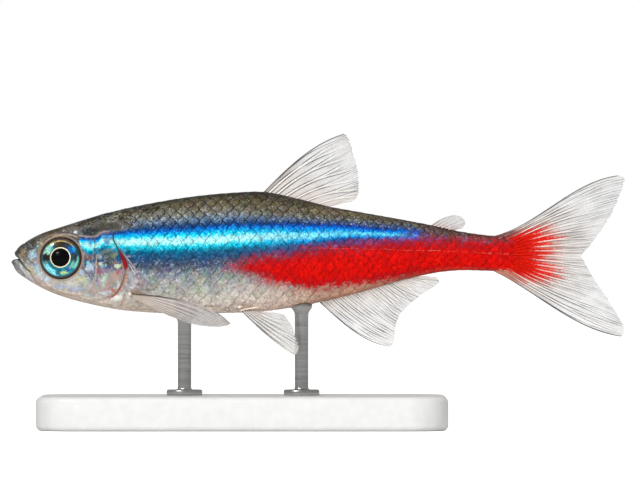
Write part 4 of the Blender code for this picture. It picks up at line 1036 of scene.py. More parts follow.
def one_scale():
    """A single scale as a mesh, and its points (back, up, out) in millimetres and their depths."""
    sheet = bmesh.new()
    bmesh.ops.create_grid(sheet, x_segments=SCALE_LONG, y_segments=SCALE_WIDE, size=1.0)
    for vertex in sheet.verts:
        deep = SCALE_DEPTHS[round((1 - vertex.co.x) / 2 * SCALE_LONG)]
        up = vertex.co.y * SCALE_HALF * (1 - 0.12 * deep)
        back = free_edge(up) + (SCALE_FRONT - free_edge(up)) * deep
        dome = SCALE_DOME * (1 - (up / SCALE_HALF) ** 2)
        vertex.co = Vector((back, up, SCALE_LIFT + SCALE_TILT * back + dome))
    bmesh.ops.recalc_face_normals(sheet, faces=sheet.faces)
    bmesh.ops.solidify(sheet, geom=sheet.faces[:], thickness=SCALE_THICK)
    data = mesh_of("one_scale", sheet)
    points = places_of(data)
    return data, points, free_edge(points[:, 1]) - points[:, 0]


def repeated(template, count):
    """A bmesh that holds a mesh this many times. The mesh is removed."""
    sheet = bmesh.new()
    for _ in range(count):
        sheet.from_mesh(template)
    bpy.data.meshes.remove(template)
    return sheet


def spread_for_bake(piece, homes, sizes):
    """The OFBake map of many like parts: each has a small patch of its own where it lies on the skin."""
    corners = np.zeros(len(piece.data.loops), int)
    piece.data.loops.foreach_get("vertex_index", corners)
    patch = sizes * BAKE_PATCH
    spread = (homes[:, None, :] + patch[None, :, :]).reshape(-1, 2)[corners]
    layer = piece.data.uv_layers.new(name="OFBake")
    layer.data.foreach_set("uv", spread.astype(np.float32).ravel())


def on_grid(grid, s, share):
    """Values of a grid on the skin, at places along the fish and at shares of the way round."""
    row = row_of_place(s) * SKIN_ALONG
    column = np.mod(share, 1.0) * SKIN_AROUND
    row_low = np.clip(np.floor(row).astype(int), 0, SKIN_ALONG - 1)
    column_low = np.clip(np.floor(column).astype(int), 0, SKIN_AROUND - 1)
    x, y = (row - row_low)[..., None], (column - column_low)[..., None]
    return (
        grid[row_low, column_low] * (1 - x) * (1 - y)
        + grid[row_low + 1, column_low] * x * (1 - y)
        + grid[row_low, column_low + 1] * (1 - x) * y
        + grid[row_low + 1, column_low + 1] * x * y
    )


def off_skin(s, share, out):
    """Points that stand out from the skin by this much."""
    return on_grid(skin_points, s, share) + on_grid(outward, s, share) * out[..., None]


def girth_at(s):
    """The way round the body at places along the fish."""
    return np.interp(row_of_place(s), row_shares, row_girth)


def row_space(s):
    """Distance between the rows of scales, closer where the fish is slender."""
    depth = curve(BODY, s, 1) - curve(BODY, s, 2)
    return ROW_SPACE * (depth / FULL_DEPTH) ** 0.35


def share_of_height(s, h):
    """How far up the right side, from 0 at the belly to 1 at the back, the skin reaches a height."""
    row = int(round(float(row_of_place(s)) * SKIN_ALONG))
    half = SKIN_AROUND // 2 + 1
    return float(np.interp(h, body[row, :half, 2], round_shares[:half] * 2))


def scale_roots(side):
    """Roots of one side's scales: place along, share of the way round, size across and along, and tilt."""
    phases, places = [0.0], [FIRST_SCALE]
    while places[-1] < LAST_SCALE + 1.0:
        places.append(places[-1] + float(curve(SCALE_PERIOD, places[-1])))
        phases.append(phases[-1] + 1.0)
    found = []
    for row in range(-ROWS_DOWN, ROWS_UP + 1):
        for step in range(len(places)):
            s = float(np.interp(step + (row % 2) / 2, phases, places))
            if s > LAST_SCALE:
                continue
            space = float(row_space(s))
            up = share_of_height(s, float(curve(ROW_LINE, s))) + row * space / (float(girth_at(s)) / 2)
            if not -0.02 < up < 1.02:
                continue
            h = float(on_grid(body, np.array(s), np.array(up / 2))[..., 2])
            if past_gill(s, h) < BARE_PAST_GILL:
                continue
            raised = FLAT_TILT + (1 - FLAT_TILT) * float(ease(min(up, 1 - up), *FLAT_WITHIN))
            share = up / 2 if side > 0 else 1 - up / 2
            size = space / ROW_SPACE, float(curve(SCALE_PERIOD, s)) / USUAL_PERIOD
            found.append((s, share, *size, raised))
    return np.array(found)


def lay_scales(name, side):
    """One side's scales as a single piece, laid over the skin from the head to the tail."""
    template, points, depths = one_scale()
    roots = scale_roots(side)
    count = len(roots)
    piece = new_piece(name, repeated(template, count), hide, "skin")
    turn, swell, raise_tip, twist = (chance.normal(*spread, count)[:, None] for spread in SCALE_CHANCE)
    back = points[:, 0] * roots[:, 3:4] * swell
    up = points[:, 1] * roots[:, 2:3] * swell
    back, up = back - up * turn, up + back * turn
    out = points[:, 2] + raise_tip * np.maximum(points[:, 0] + 0.2, 0.0) + twist * points[:, 1]
    s = np.minimum(roots[:, 0:1] + back, FLESH_LENGTH - 0.05)
    move_to(piece, off_skin(s, roots[:, 1:2] + side * up / girth_at(s), out * roots[:, 4:5]))
    # The foremost scales have no dark line yet
    front_s, _, front_h = from_model(places_of(piece.data)).T
    rim = np.clip(1.0 - np.tile(depths, count) / RIM_WIDE, 0.0, 1.0)
    rim *= ease(past_gill(front_s, front_h), 0.35, 1.40)
    shade = np.repeat(chance.uniform(0.0, 1.0, count), len(points))
    homes = np.stack((row_of_place(roots[:, 0]), roots[:, 1]), axis=1)
    homes = np.clip(homes, BAKE_PATCH[1], 1 - BAKE_PATCH[1])
    spread_for_bake(piece, homes, points[:, :2] / (SCALE_TIP - SCALE_FRONT, 2 * SCALE_HALF))
    dab_head(piece, *mark(piece, rim=rim, shade=shade))


lay_scales("scales_left", -1)
lay_scales("scales_right", 1)


# The side line: a row of short, pale, open tubes, one on each scale of the middle row behind the belly.
# The fish feels the water through them. Here each is a small tapered tube that lies on its scale.
CANAL_PATH = ((16.8, -0.47), (18.6, -0.50), (21.54, -0.54), (23.9, -0.61), (26.2, -0.67), (29.2, -0.86))
CANAL_ENDS = (17.3, 29.2)
CANAL_TONES = ((0.36, "#CC1C10"), (0.50, "#D83828"), (0.66, "#E87C6C"))
TUBE_LONG, TUBE_FRONT, TUBE_BACK = 0.58, 0.015, 0.021
TUBE_SIDES = 8
TUBE_RISE = 0.042
# How far a tube strays up or down, and its distance to the next one in shares of the scales' distance
TUBE_STRAY, TUBE_STEP = 0.012, (0.86, 1.06)
LEAN_STEP = 0.3

canal, add, shader = new_finish("pale_skin_of_side_line")
patchy = add("TexNoise", add("TexCoord", give="Object"), 1 / (0.16 * MM), 2.0)
feed(shader, Base_Color=add("ValToRGB", patchy, stops=CANAL_TONES))
shader.inputs["Roughness"].default_value = 0.35
shader.inputs["Specular IOR Level"].default_value = 0.25


def lay_canal(name, side):
    """One side's row of tubes as a single piece, laid on the scales."""
    tube = bmesh.new()
    bmesh.ops.create_cone(
        tube, cap_ends=True, segments=TUBE_SIDES, radius1=TUBE_FRONT, radius2=TUBE_BACK, depth=TUBE_LONG,
        matrix=Matrix.Rotation(math.radians(90), 4, "Y"),
    )
    template = mesh_of("one_tube", tube)
    points = places_of(template)
    roots = [CANAL_ENDS[0]]
    while roots[-1] < CANAL_ENDS[1]:
        roots.append(roots[-1] + float(curve(SCALE_PERIOD, roots[-1])) * chance.uniform(*TUBE_STEP))
    roots = np.array(roots)
    piece = new_piece(name, repeated(template, len(roots)), canal, "skin")
    home_h = curve(CANAL_PATH, roots) + chance.normal(0.0, TUBE_STRAY, len(roots))
    home = np.array([share_of_height(*pair) / 2 for pair in zip(roots, home_h)])
    lean = (curve(CANAL_PATH, roots + LEAN_STEP) - curve(CANAL_PATH, roots - LEAN_STEP)) / (2 * LEAN_STEP)
    up = points[:, 1] + points[:, 0] * lean[:, None]
    share = home[:, None] + up / girth_at(roots)[:, None]
    if side < 0:
        home, share = 1 - home, 1 - share
    move_to(piece, off_skin(roots[:, None] + points[:, 0], share, points[:, 2] + TUBE_RISE))
    if side > 0:
        piece.data.flip_normals()
    homes = np.stack((row_of_place(roots), home), axis=1)
    spread_for_bake(piece, homes, points[:, :2] / (TUBE_LONG, 2 * TUBE_BACK))


lay_canal("side_line_left", -1)
lay_canal("side_line_right", 1)


# The eyes: glassy balls without lids. The flat iris is lined with mirror cells, cyan and gold over black,
# round a wide black pupil that the lens fills and stands out of.
EYE_PROFILE = (
    (0.00, 0.385), (0.16, 0.370), (0.32, 0.326), (0.44, 0.272), (0.52, 0.226), (0.56, 0.204),
    (0.585, 0.212), (0.62, 0.216), (0.68, 0.206), (0.76, 0.188), (0.86, 0.160), (0.95, 0.128),
    (1.04, 0.086), (1.12, 0.030), (1.18, -0.050), (1.21, -0.160), (1.20, -0.340), (1.10, -0.460),
    (0.60, -0.520), (0.00, -0.540),
)
EYE_STEPS = 128
# Patches of the iris: angle up from the tail side and half width in degrees, from, to, colour, strength
IRIS_PATCHES = (
    (0, 180, 0.58, 1.13, "#1C5A6C", 1.0),
    (270, 78, 0.64, 1.10, "#2496AE", 0.80),
    (226, 32, 0.80, 1.07, "#8CEAF4", 0.95),
    (236, 36, 0.62, 0.78, "#186C84", 0.80),
    (262, 9, 0.70, 1.00, "#145468", 0.70),
    (285, 12, 0.82, 1.01, "#BEDC92", 0.90),
    (290, 14, 0.64, 0.80, "#2E8CA8", 0.80),
    (307, 11, 0.72, 0.94, "#2A68B4", 0.90),
    (342, 20, 0.92, 1.07, "#84DCC4", 0.90),
    (333, 20, 0.74, 0.90, "#8CC49C", 0.70),
    (336, 26, 0.62, 0.76, "#2C8494", 0.80),
    (358, 13, 0.60, 0.98, "#28343F", 0.85),
    (12, 13, 0.62, 1.00, "#34424F", 0.80),
    (38, 18, 0.60, 0.94, "#1A68BC", 0.95),
    (34, 9, 0.84, 1.04, "#38B0DC", 0.70),
    (151, 16, 0.66, 1.06, "#A4DEC8", 0.90),
    (136, 9, 0.66, 0.90, "#3C8C98", 0.70),
    (128, 12, 0.88, 1.04, "#5CA894", 0.70),
    (180, 14, 0.60, 1.02, "#2A1D16", 0.92),
    (200, 7, 0.70, 1.02, "#3C6C68", 0.70),
    (88, 34, 0.62, 0.95, "#372819", 0.95),
    (66, 10, 0.70, 0.92, "#2C4458", 0.60),
    (87, 42, 0.955, 1.025, "#E0C080", 0.90),
    (60, 7, 0.95, 1.03, "#8A7040", 0.70),
    (112, 8, 0.96, 1.03, "#B08C50", 0.60),
    (87, 46, 1.02, 1.10, "#6A5230", 0.75),
    (0, 180, 0.545, 0.605, "#F8F4D0", 1.0),
    (195, 60, 0.550, 0.600, "#D8B880", 0.45),
    (0, 180, 0.00, 0.540, "#010102", 1.0),
    (0, 180, 1.09, 1.20, "#5C5048", 0.78),
    (0, 180, 1.205, 1.40, "#565A5C", 1.0),
)

# The sides of the patches stray by these degrees, and their rims are this soft in millimetres
IRIS_STRAY = 3.0
EDGE_SOFT = 0.015

iris, add, shader = new_finish("mirror_iris_under_cornea")
patches = add("Attribute", attribute_name="iris")
on_iris = patches.node.outputs["Alpha"]
cells = add("TexVoronoi", add("TexCoord", give="Object"), 1 / (0.07 * MM), give="Color")
bright = add("MapRange", add("SeparateColor", cells), 0, 1, 0.66, 1.34)
tone = add("Mix RGBA", on_iris, patches, bright, blend_type="MULTIPLY")
feed(shader, Base_Color=tone, Metallic=add("Math MULTIPLY", on_iris, 0.25))
shader.inputs["Roughness"].default_value = 0.30
shader.inputs["Coat Weight"].default_value = 0.16
shader.inputs["Coat Roughness"].default_value = 0.03
shader.inputs["Specular IOR Level"].default_value = 0.05


def turned(profile, steps, cuts=0):
    """A bmesh spun about Z from a profile of radii and heights, whose edges can be cut first."""
    spun = bmesh.new()
    line = [spun.verts.new((radius, 0.0, height)) for radius, height in profile]
    edges = [spun.edges.new(pair) for pair in zip(line, line[1:])]
    if cuts:
        bmesh.ops.subdivide_edges(spun, edges=edges, cuts=cuts)
    bmesh.ops.spin(
        spun, geom=spun.verts[:] + spun.edges[:], cent=(0, 0, 0), axis=(0, 0, 1),
        angle=2 * math.pi, steps=steps, use_merge=True,
    )
    bmesh.ops.remove_doubles(spun, verts=spun.verts, dist=WELD)
    bmesh.ops.recalc_face_normals(spun, faces=spun.faces)
    return spun


def make_eye(name, side):
    """An eye: its profile spun about its own axis, then set into its orbit."""
    piece = new_piece(name, turned(EYE_PROFILE, EYE_STEPS, cuts=2), iris, "eye", name)
    local = places_of(piece.data)
    middle, out = eye_frame(side)
    toward = np.cross((0.0, 0.0, 1.0), out)
    toward = toward / np.linalg.norm(toward) * -side
    up = np.cross(out, toward) * -side
    radius = np.hypot(local[:, 0], local[:, 1])
    angle = np.degrees(np.arctan2(local[:, 1], local[:, 0])) + IRIS_STRAY * np.sin(radius * 23.0)
    colour = np.zeros((len(radius), 3))
    for at, half, low, high, code, strength in IRIS_PATCHES:
        off = np.abs((angle - at + 180) % 360 - 180)
        cover = ease(off, half * 1.25 + 1, half * 0.75) if half < 180 else np.ones(len(off))
        cover = cover * ease(radius, low - EDGE_SOFT, low + EDGE_SOFT)
        cover = cover * ease(radius, high + EDGE_SOFT, high - EDGE_SOFT)
        colour += (np.array(paint(code)[:3]) - colour) * (cover * strength)[:, None]
    is_iris = ease(radius, 0.60, 0.64) * ease(radius, 1.16, 1.10) * (local[:, 2] > -0.2)
    record(piece, iris=np.column_stack((colour, is_iris)))
    move_to(piece, middle + local[:, :1] * toward + local[:, 1:2] * up + local[:, 2:] * out)
    # The far eye is set as the mirror image of the near one, which turns its faces inside out
    if side > 0:
        piece.data.flip_normals()


make_eye("eye_left", -1)
make_eye("eye_right", 1)


# The fins: clear skin stretched over bony rays. A ray is two thin dark rods with a pale core between them,
# partly a painted highlight along the ray, crossed by fine joints, and it forks once or twice towards the
# fin's ragged edge.
# The first rays are short, thick and unforked, and stiffen the leading edge.
ROOT_SUNK = 0.55
FORK_FROM, FORK_TO, FORK_SPREAD = 0.34, 0.90, 0.25
JOINT_SPACE = 0.105
# The edge is nicked at random and notched between the branches by up to this much of a ray
EDGE_NICK, EDGE_NOTCH = 0.014, 0.05
NICKS_PER_RAY = 4
# A branch stands out as a ridge, in millimetres from its middle: at the root, and less by the tip
RIDGE_HALF, RIDGE_TAPER = 0.085, 0.05
THINNEST = 0.010
RAY_TONES = ((0.0, 0.0), (0.40, 0.0), (0.60, 1.0), (0.80, 1.0), (1.0, 0.0))
MEMBRANE_TONES = ((0.3, "#A6A4A6"), (0.7, "#CAC8C8"))
FIN_RED_TONES = ((0.35, "#C41006"), (0.62, "#E81E0C"))
# What a fin's look has in common with the others, unless its own call says otherwise
FIN_LOOK = {
    "again": 0.0,  # how far the branches fork again
    "wide": (0.135, 0.090),  # half width of a branch at the root and at the edge, in millimetres
    "narrow": 0.28,  # space between rays under which they are slimmer
    "own": 0.30,  # darkness of the palest rays
    "lead": 3.0,  # how many rays the dark leading edge fades over
    "rest": 0.62,  # darkness of the rays behind them
    "plain_root": 1.0,  # darkness of the rays at the root
    "web": 0.7,  # darkness of the web behind the leading edge
    "rod": 0.10,  # width of the leading rod
    "rod_fades": (0.5, 1.0),  # where along the fin the leading rod fades
    "rod_left": 0.5,  # what is left of it there
    "front": 1.0,  # darkness of the leading edge as a whole
    "thinned": 0.9,  # how solid the skin still is at the edge
    "pale": "#FFFCF6",  # the core of a ray
    "both": False,  # whether both edges lead
    "red": None,  # how far red reaches along the rays
}


def ray_points(roots, tips, starts, ends, along):
    """Points (s, h) of every ray, from its root to its tip, at shares of the way along it."""
    t = np.clip(along, 0.0, 1.0)[..., None]
    reach = np.linalg.norm(tips - roots, axis=-1, keepdims=True)
    leave = np.stack((np.cos(starts), np.sin(starts)), axis=-1) * reach
    arrive = np.stack((np.cos(ends), np.sin(ends)), axis=-1) * reach
    return smooth_between(t, roots, leave, tips, arrive) + leave * np.minimum(along, 0.0)[..., None]


def forked(x, along):
    """Distance from the nearest branch of a ray, in shares of the space between two rays."""
    off = np.abs(x - np.round(x))
    return np.abs(off - FORK_SPREAD * ease(along, FORK_FROM, FORK_TO))


def fin_finish(name, root_code, root_cover, root_reach, dark, clear, last, **form):
    """A fin's material: its root's tint, how dark its rays and how clear its skin are, and its last ray."""
    made, add, shader = new_finish(name)
    look = {**FIN_LOOK, **form}
    x, along, away, pitch = (
        add("Attribute", give="Fac", attribute_name=label)
        for label in ("ray_number", "ray_share", "ray_length", "ray_space")
    )
    spot = add("TexCoord", give="Object")
    soft = add("TexNoise", spot, 1 / (0.5 * MM), 2.0)
    fine = add("TexNoise", spot, 1 / (0.09 * MM), 2.0)
    # Distance from the nearest branch of a ray. The branches can fork again near the fin's edge.
    spread = add("MapRange", along, FORK_FROM, FORK_TO, 0, FORK_SPREAD, interpolation_type="SMOOTHSTEP")
    branch = add("Math SUBTRACT", add("Math PINGPONG", x, 0.5), spread)
    inner = add("MapRange", branch, -0.03, 0.03, 0.55, 1.0)
    again = add("MapRange", along, 0.60, 1.0, 0.0, look["again"])
    branch = add("Math SUBTRACT", add("Math ABSOLUTE", branch), again)
    branch = add("Math ABSOLUTE", add("Math MULTIPLY", branch, pitch))
    narrow = add("MapRange", pitch, 0.0, look["narrow"])
    wide = add("Math MULTIPLY", add("MapRange", along, 0, 1, *look["wide"]), narrow)
    part = add("Math DIVIDE", branch, add("Math MAXIMUM", wide, 0.01))
    # Each ray is dark or pale in its own way, and changes along its length
    own = add("CombineXYZ", add("Math MULTIPLY", add("Math ROUND", x), 7.31), away)
    own = add("TexNoise", own, 0.55, 1.0)
    # The leading edge is a dark rod with a dark web behind it. On the tail both edges lead.
    to_last = add("Math SUBTRACT", last, x)
    edge = add("Math MINIMUM", x, to_last) if look["both"] else x
    fades = [
        (own, 0.38, 0.60, look["own"], 1.0), (along, 0.15, 1.0, 1.0, 0.50),
        (edge, 0.0, look["lead"], 1.0, look["rest"]), (along, 0.08, 0.34, look["plain_root"], 1.0),
    ]
    if not look["both"]:
        fades.append((to_last, 0.0, 1.6, 0.30, 1.0))
    line = add("Math MULTIPLY", add("ValToRGB", part, stops=RAY_TONES), inner)
    for fade in fades:
        line = add("Math MULTIPLY", line, add("MapRange", *fade))
    line = add("Math MULTIPLY", line, dark)
    web = add("MapRange", edge, 0.0, 0.9, look["web"], 0.0)
    web = add("Math MULTIPLY", web, add("MapRange", along, 0.10, 0.55, 1.0, 0.0))
    rod = add("MapRange", add("Math MULTIPLY", edge, pitch), look["rod"], 0.04)
    rod = add("Math MULTIPLY", rod, add("MapRange", along, *look["rod_fades"], 0.95, look["rod_left"]))
    front = add("Math MULTIPLY", add("Math MAXIMUM", web, rod), look["front"])
    line = add("Math MAXIMUM", line, front)
    # Joints cross the rays as fine ticks, and the skin between the rays is clouded in streaks
    ticks = add("Math PINGPONG", away, JOINT_SPACE / 2)
    ticks = add("MapRange", ticks, 0.0, JOINT_SPACE / 2, -0.07, 0.07)
    ticks = add("Math MULTIPLY", ticks, add("MapRange", soft, 0.35, 0.60, 0.2, 1.0))
    streak = add("CombineXYZ", add("Math MULTIPLY", x, 1.7), add("Math MULTIPLY", away, 0.5))
    streak = add("MapRange", add("TexNoise", streak, 1.0, 2.0), 0.45, 0.72)
    cloud = add("Math MULTIPLY", streak, add("MapRange", along, 0.1, 0.5))
    tone = add("ValToRGB", soft, stops=MEMBRANE_TONES)
    tone = add("Mix RGBA", add("Math MULTIPLY", cloud, 0.6), tone, paint("#7C7C80"))
    rooted = add("MapRange", away, 0.0, root_reach, root_cover, 0.0)
    tone = add("Mix RGBA", rooted, tone, paint(root_code))
    veil = add("MapRange", along, 0.3, 1.0, 1.0, look["thinned"])
    veil = add("Math MULTIPLY_ADD", veil, 1 - clear, ticks)
    for share, solid in ((cloud, 0.22), (rooted, 0.50)):
        veil = add("Math MULTIPLY_ADD", share, solid, veil)
    bare = 1.0
    if look["red"]:
        # The stalk's red runs out along the rays: solid over them at first, then under their pale cores
        run = add("CombineXYZ", add("Math MULTIPLY", x, 2.1), add("Math MULTIPLY", away, 0.30))
        run = add("MapRange", add("TexNoise", run, 1.0, 3.0), 0.3, 0.7, -2.20, -0.80)
        run = add("Math MULTIPLY_ADD", fine, 3.0, run)
        from_middle = add("Math DIVIDE", add("Math SUBTRACT", last / 2, edge), last / 2)
        reach = add("MapRange", add("ValToRGB", from_middle, stops=look["red"]), 0.0, 1.0, -1.0, 3.0)
        under = add("Math SUBTRACT", add("Math ADD", run, reach), away)
        under = add("MapRange", under, -1.05, 0.05)
        over = add("Math MULTIPLY_ADD", run, -0.55, add("Math MULTIPLY_ADD", reach, -0.75, away))
        over = add("Math MAXIMUM", add("MapRange", over, 0.50, -0.40), add("Math MULTIPLY", under, 0.4))
        tone = add("Mix RGBA", under, tone, add("ValToRGB", fine, stops=FIN_RED_TONES))
        # At its edges the stalk's skin, dark above and tan below, still covers the first rays
        skinned = add("MapRange", edge, 2.4, 1.2)
        for share in (add("MapRange", away, 1.4, 0.6), add("MapRange", fine, 0.35, 0.60, 0.55, 1.0)):
            skinned = add("Math MULTIPLY", skinned, share)
        low_edge = add("MapRange", x, last * 0.45, last * 0.55)
        covering = add("Mix RGBA", low_edge, paint("#5E4648"), paint("#B88472"))
        tone = add("Mix RGBA", skinned, tone, covering)
        veil = add("Math MULTIPLY_ADD", under, 0.85, add("Math MAXIMUM", veil, skinned), use_clamp=True)
        bare = add("Math SUBTRACT", 1.0, add("Math MAXIMUM", over, skinned))
    # The pale core between a branch's dark rods is partly a painted highlight along the ray
    core = add("MapRange", part, 0.55, 0.25)
    for share in (add("MapRange", along, 0.0, 1.0, 0.95, 0.55), bare, narrow):
        core = add("Math MULTIPLY", core, share)
    line = add("Math MULTIPLY", line, add("Math MAXIMUM", bare, 0.35))
    tone = add("Mix RGBA", core, tone, paint(look["pale"]))
    tone = add("Mix RGBA", line, tone, paint("#232120"))
    veil = add("Math MULTIPLY_ADD", core, 0.42, veil)
    veil = add("Math MULTIPLY_ADD", line, 0.90, veil, use_clamp=True)
    feed(shader, Base_Color=tone, Alpha=veil)
    shader.inputs["Roughness"].default_value = 0.42
    shader.inputs["Specular IOR Level"].default_value = 0.20
    shader.inputs["IOR"].default_value = 1.36
    return made


def make_fin(name, finish, count, columns, rows, roots_of, tips_table, **form):
    """A fin as one closed sheet: its rays' curves side by side, thicker along each ray and at the root."""
    half_thick, root_thick, root_fade = form.get("thick", (0.022, 0.05, 0.6))
    sheet = bmesh.new()
    sheet.loops.layers.uv.new("OFBake")
    bmesh.ops.create_grid(sheet, x_segments=columns, y_segments=rows, size=1.0, calc_uvs=True)
    bmesh.ops.solidify(sheet, geom=sheet.faces[:], thickness=0.5)
    flat = np.array([vertex.co[:] for vertex in sheet.verts])
    piece = new_piece(name, sheet, finish, "fin", *form.get("nodes", (name,)))
    v, share = np.clip((flat[:, :2].T + 1) / 2, 0.0, 1.0)
    face = np.where(np.abs(flat[:, 2]) < 0.25, 1.0, -1.0)

    def ends_at(v):
        tips = np.stack((curve(tips_table, v, 1), curve(tips_table, v, 2)), axis=-1)
        return np.stack(roots_of(v), axis=-1), tips

    def rays_at(v, along):
        starts, ends = np.radians(curve(tips_table, v, 3)), np.radians(curve(tips_table, v, 4))
        return ray_points(*ends_at(v), starts, ends, along)

    roots, tips = ends_at(v)
    reach = np.linalg.norm(tips - roots, axis=-1)
    x = v * (count - 1)
    wear = np.random.default_rng(count * 7 + len(name))
    nicks = wear.uniform(0.0, 1.0, count * NICKS_PER_RAY + 2)
    margin = EDGE_NICK * np.interp(x * NICKS_PER_RAY, np.arange(len(nicks)), nicks)
    margin = margin + EDGE_NOTCH * forked(x, np.ones(len(x)))
    along = -ROOT_SUNK / reach + (1.0 - margin + ROOT_SUNK / reach) * share
    step = 0.5 / (count - 1)
    near = [rays_at(np.clip(v + d, 0, 1), along) for d in (-step, step)]
    # At the first and the last ray one of the two neighbours is cut short
    from_end = np.minimum(v, 1 - v)
    whole = np.where(from_end < step, 0.5 + from_end / step / 2, 1.0)
    pitch = np.linalg.norm(near[1] - near[0], axis=-1) / whole
    ridge = ease(forked(x, np.clip(along, 0, 1)) * pitch, RIDGE_HALF - RIDGE_TAPER * along, 0.0)
    thick = THINNEST + half_thick * (1 - 0.65 * np.clip(along, 0, 1)) * (0.25 + 0.75 * ridge)
    thick = thick + root_thick * ease(along * reach, root_fade, 0.0) * (0.6 + 0.4 * ridge)
    edge = np.minimum(from_end * (count - 1) * 4, (1 - share) * 30)
    y = face * thick * (0.25 + 0.75 * ease(edge, 0.0, 1.0))
    s, h = rays_at(v, along).T
    if "side" in form:
        lean_back, lean_down = form["lean"]
        sunk = np.minimum(along, 0.0) * reach
        y = y + form["out"] + lean_back * (s - roots[:, 0]) + lean_down * (roots[:, 1] - h) + sunk * 0.9
        y = y * form["side"]
        s = s - sunk * 0.75
    move_to(piece, np.stack((s, y, h), axis=1))
    record(
        piece, ray_number=x, ray_share=np.clip(along, 0, 1), ray_length=np.maximum(along, 0) * reach,
        ray_space=pitch,
    )
    tidy = bmesh.new()
    tidy.from_mesh(piece.data)
    bmesh.ops.recalc_face_normals(tidy, faces=tidy.faces)
    tidy.to_mesh(piece.data)
    tidy.free()


def on_edge(first, last, column, gap, close=1.0):
    """Roots along the back's line, or the belly's, between two places. The first ones can stand closer."""
    def roots(v):
        s = first + (last - first) * v**close
        return s, curve(BODY, s, column) + gap
    return roots


def on_line(table):
    """Roots on a line of its own."""
    return lambda v: (curve(table, v, 1), curve(table, v, 2))


# The tips of a fin's rays: share of the way across the fin, place, and the lean of the ray at its root
# and at its tip in degrees
DORSAL_TIPS = (
    (0, 19.55, 6.26, 46, 15), (0.12, 19.80, 5.86, 45, 18), (0.25, 19.94, 5.40, 44, 24),
    (0.5, 20.24, 4.21, 34, 27), (0.75, 20.32, 3.04, 24, 16), (0.92, 20.20, 2.50, 14, 6),
    (1, 19.90, 2.24, 6, 2),
)
dorsal = fin_finish(
    "dorsal_membrane", "#F2E0D2", 0.70, 3.0, 1.5, 0.81, 7,
    rest=0.75, own=0.3, wide=(0.14, 0.075), again=0.11,
)
make_fin("dorsal_fin", dorsal, 8, 140, 70, on_edge(14.74, 18.62, 1, -0.03, 1.25), DORSAL_TIPS)

ADIPOSE_TIPS = (
    (0, 25.90, 1.46, 40, 8), (0.33, 26.30, 1.36, 34, 8), (0.67, 26.55, 1.02, 22, 2),
    (1, 26.34, 0.66, 2, -6),
)
adipose = fin_finish("adipose_flesh", "#E0B4A8", 0.70, 0.55, 0.18, 0.64, 6, front=0.40)
make_fin(
    "adipose_fin", adipose, 7, 60, 30, on_edge(24.55, 25.85, 1, -0.03), ADIPOSE_TIPS,
    thick=(0.05, 0.10, 0.7),
)

ANAL_TIPS = (
    (0, 22.14, -6.25, -42, -6), (0.07, 22.40, -6.08, -42, -14), (0.25, 22.45, -5.40, -42, -28),
    (0.5, 22.76, -4.35, -38, -28), (0.75, 23.82, -3.34, -32, -26), (0.90, 24.74, -2.72, -22, -22),
    (0.96, 25.02, -2.44, -8, -20), (1, 24.92, -2.20, 4, -14),
)
anal = fin_finish(
    "anal_membrane", "#E6D6C4", 0.60, 1.6, 1.25, 0.76, 14,
    rest=0.85, web=0.15, own=0.12, wide=(0.10, 0.075), again=0.05, rod=0.060,
)
make_fin("anal_fin", anal, 15, 210, 64, on_edge(18.00, 23.80, 2, 0.03), ANAL_TIPS)

# The tail's rays start inside the thinned end of the stalk, and spread from there into two lobes
TAIL_RAYS = 19
TAIL_BASE = (
    (0.0, 28.30, 0.26), (0.125, 29.30, 0.13), (0.25, 29.75, -0.10), (0.375, 29.90, -0.45),
    (0.5, 29.95, -0.87), (0.625, 29.90, -1.30), (0.75, 29.75, -1.60), (0.875, 29.30, -1.80),
    (1.0, 28.30, -1.88),
)
TAIL_TIPS = (
    (0.0, 35.66, 3.80, 15, 4), (0.03, 35.92, 3.62, 20, 8), (0.125, 35.62, 2.58, 28, 14),
    (0.25, 34.95, 1.23, 24, 14), (0.375, 34.07, -0.06, 10, 8), (0.48, 33.42, -0.84, 1, 0),
    (0.5, 33.34, -0.95, 0, 0), (0.52, 33.46, -1.10, -2, -2), (0.625, 33.96, -2.03, -16, -12),
    (0.75, 34.83, -3.32, -28, -22), (0.875, 35.62, -4.60, -32, -24), (0.95, 35.96, -5.38, -30, -14),
    (1.0, 35.78, -5.67, -26, -6),
)
# How far the red reaches along the rays, from the middle ones to the outermost
RED_REACH = (
    (0.0, 0.54), (0.12, 0.57), (0.25, 0.62), (0.45, 0.66), (0.60, 0.58), (0.75, 0.44), (0.88, 0.32),
    (1.0, 0.26),
)
tail = fin_finish(
    "tail_membrane", "#C4A078", 0.62, 4.6, 1.35, 0.80, TAIL_RAYS - 1,
    both=True, lead=4.0, rest=0.75, web=0.25, again=0.06, own=0.2, wide=(0.11, 0.07), red=RED_REACH,
)
make_fin(
    "tail_fin", tail,
    TAIL_RAYS, 300, 84, on_line(TAIL_BASE), TAIL_TIPS, nodes=("tail_fin_upper", "tail_fin_lower"),
    thick=(0.030, 0.20, 1.3),
)

PECTORAL_BASE = ((0, 7.06, -3.10), (1, 7.12, -3.42))
PECTORAL_TIPS = (
    (0, 12.84, -5.00, -6, -50), (0.33, 12.16, -5.10, -14, -24), (0.67, 10.77, -4.97, -22, -22),
    (1, 9.25, -4.45, -28, -24),
)
PELVIC_BASE = ((0, 13.46, -4.20), (1, 14.25, -4.16))
PELVIC_TIPS = (
    (0, 16.62, -6.76, -46, -28), (0.33, 16.82, -6.36, -40, -32), (0.67, 16.55, -5.44, -30, -24),
    (0.85, 16.38, -4.98, -20, -16), (1, 15.95, -4.38, -4, -18),
)
pectoral = fin_finish(
    "pectoral_membrane", "#CCB096", 0.65, 3.6, 1.0, 0.58, 9,
    lead=1.0, rest=0.62, narrow=0.15, wide=(0.085, 0.065), rod=0.15, web=0.4, pale="#DED4CA", thinned=0.55,
    again=0.06, rod_fades=(0.35, 0.62), rod_left=0.05, plain_root=0.25,
)
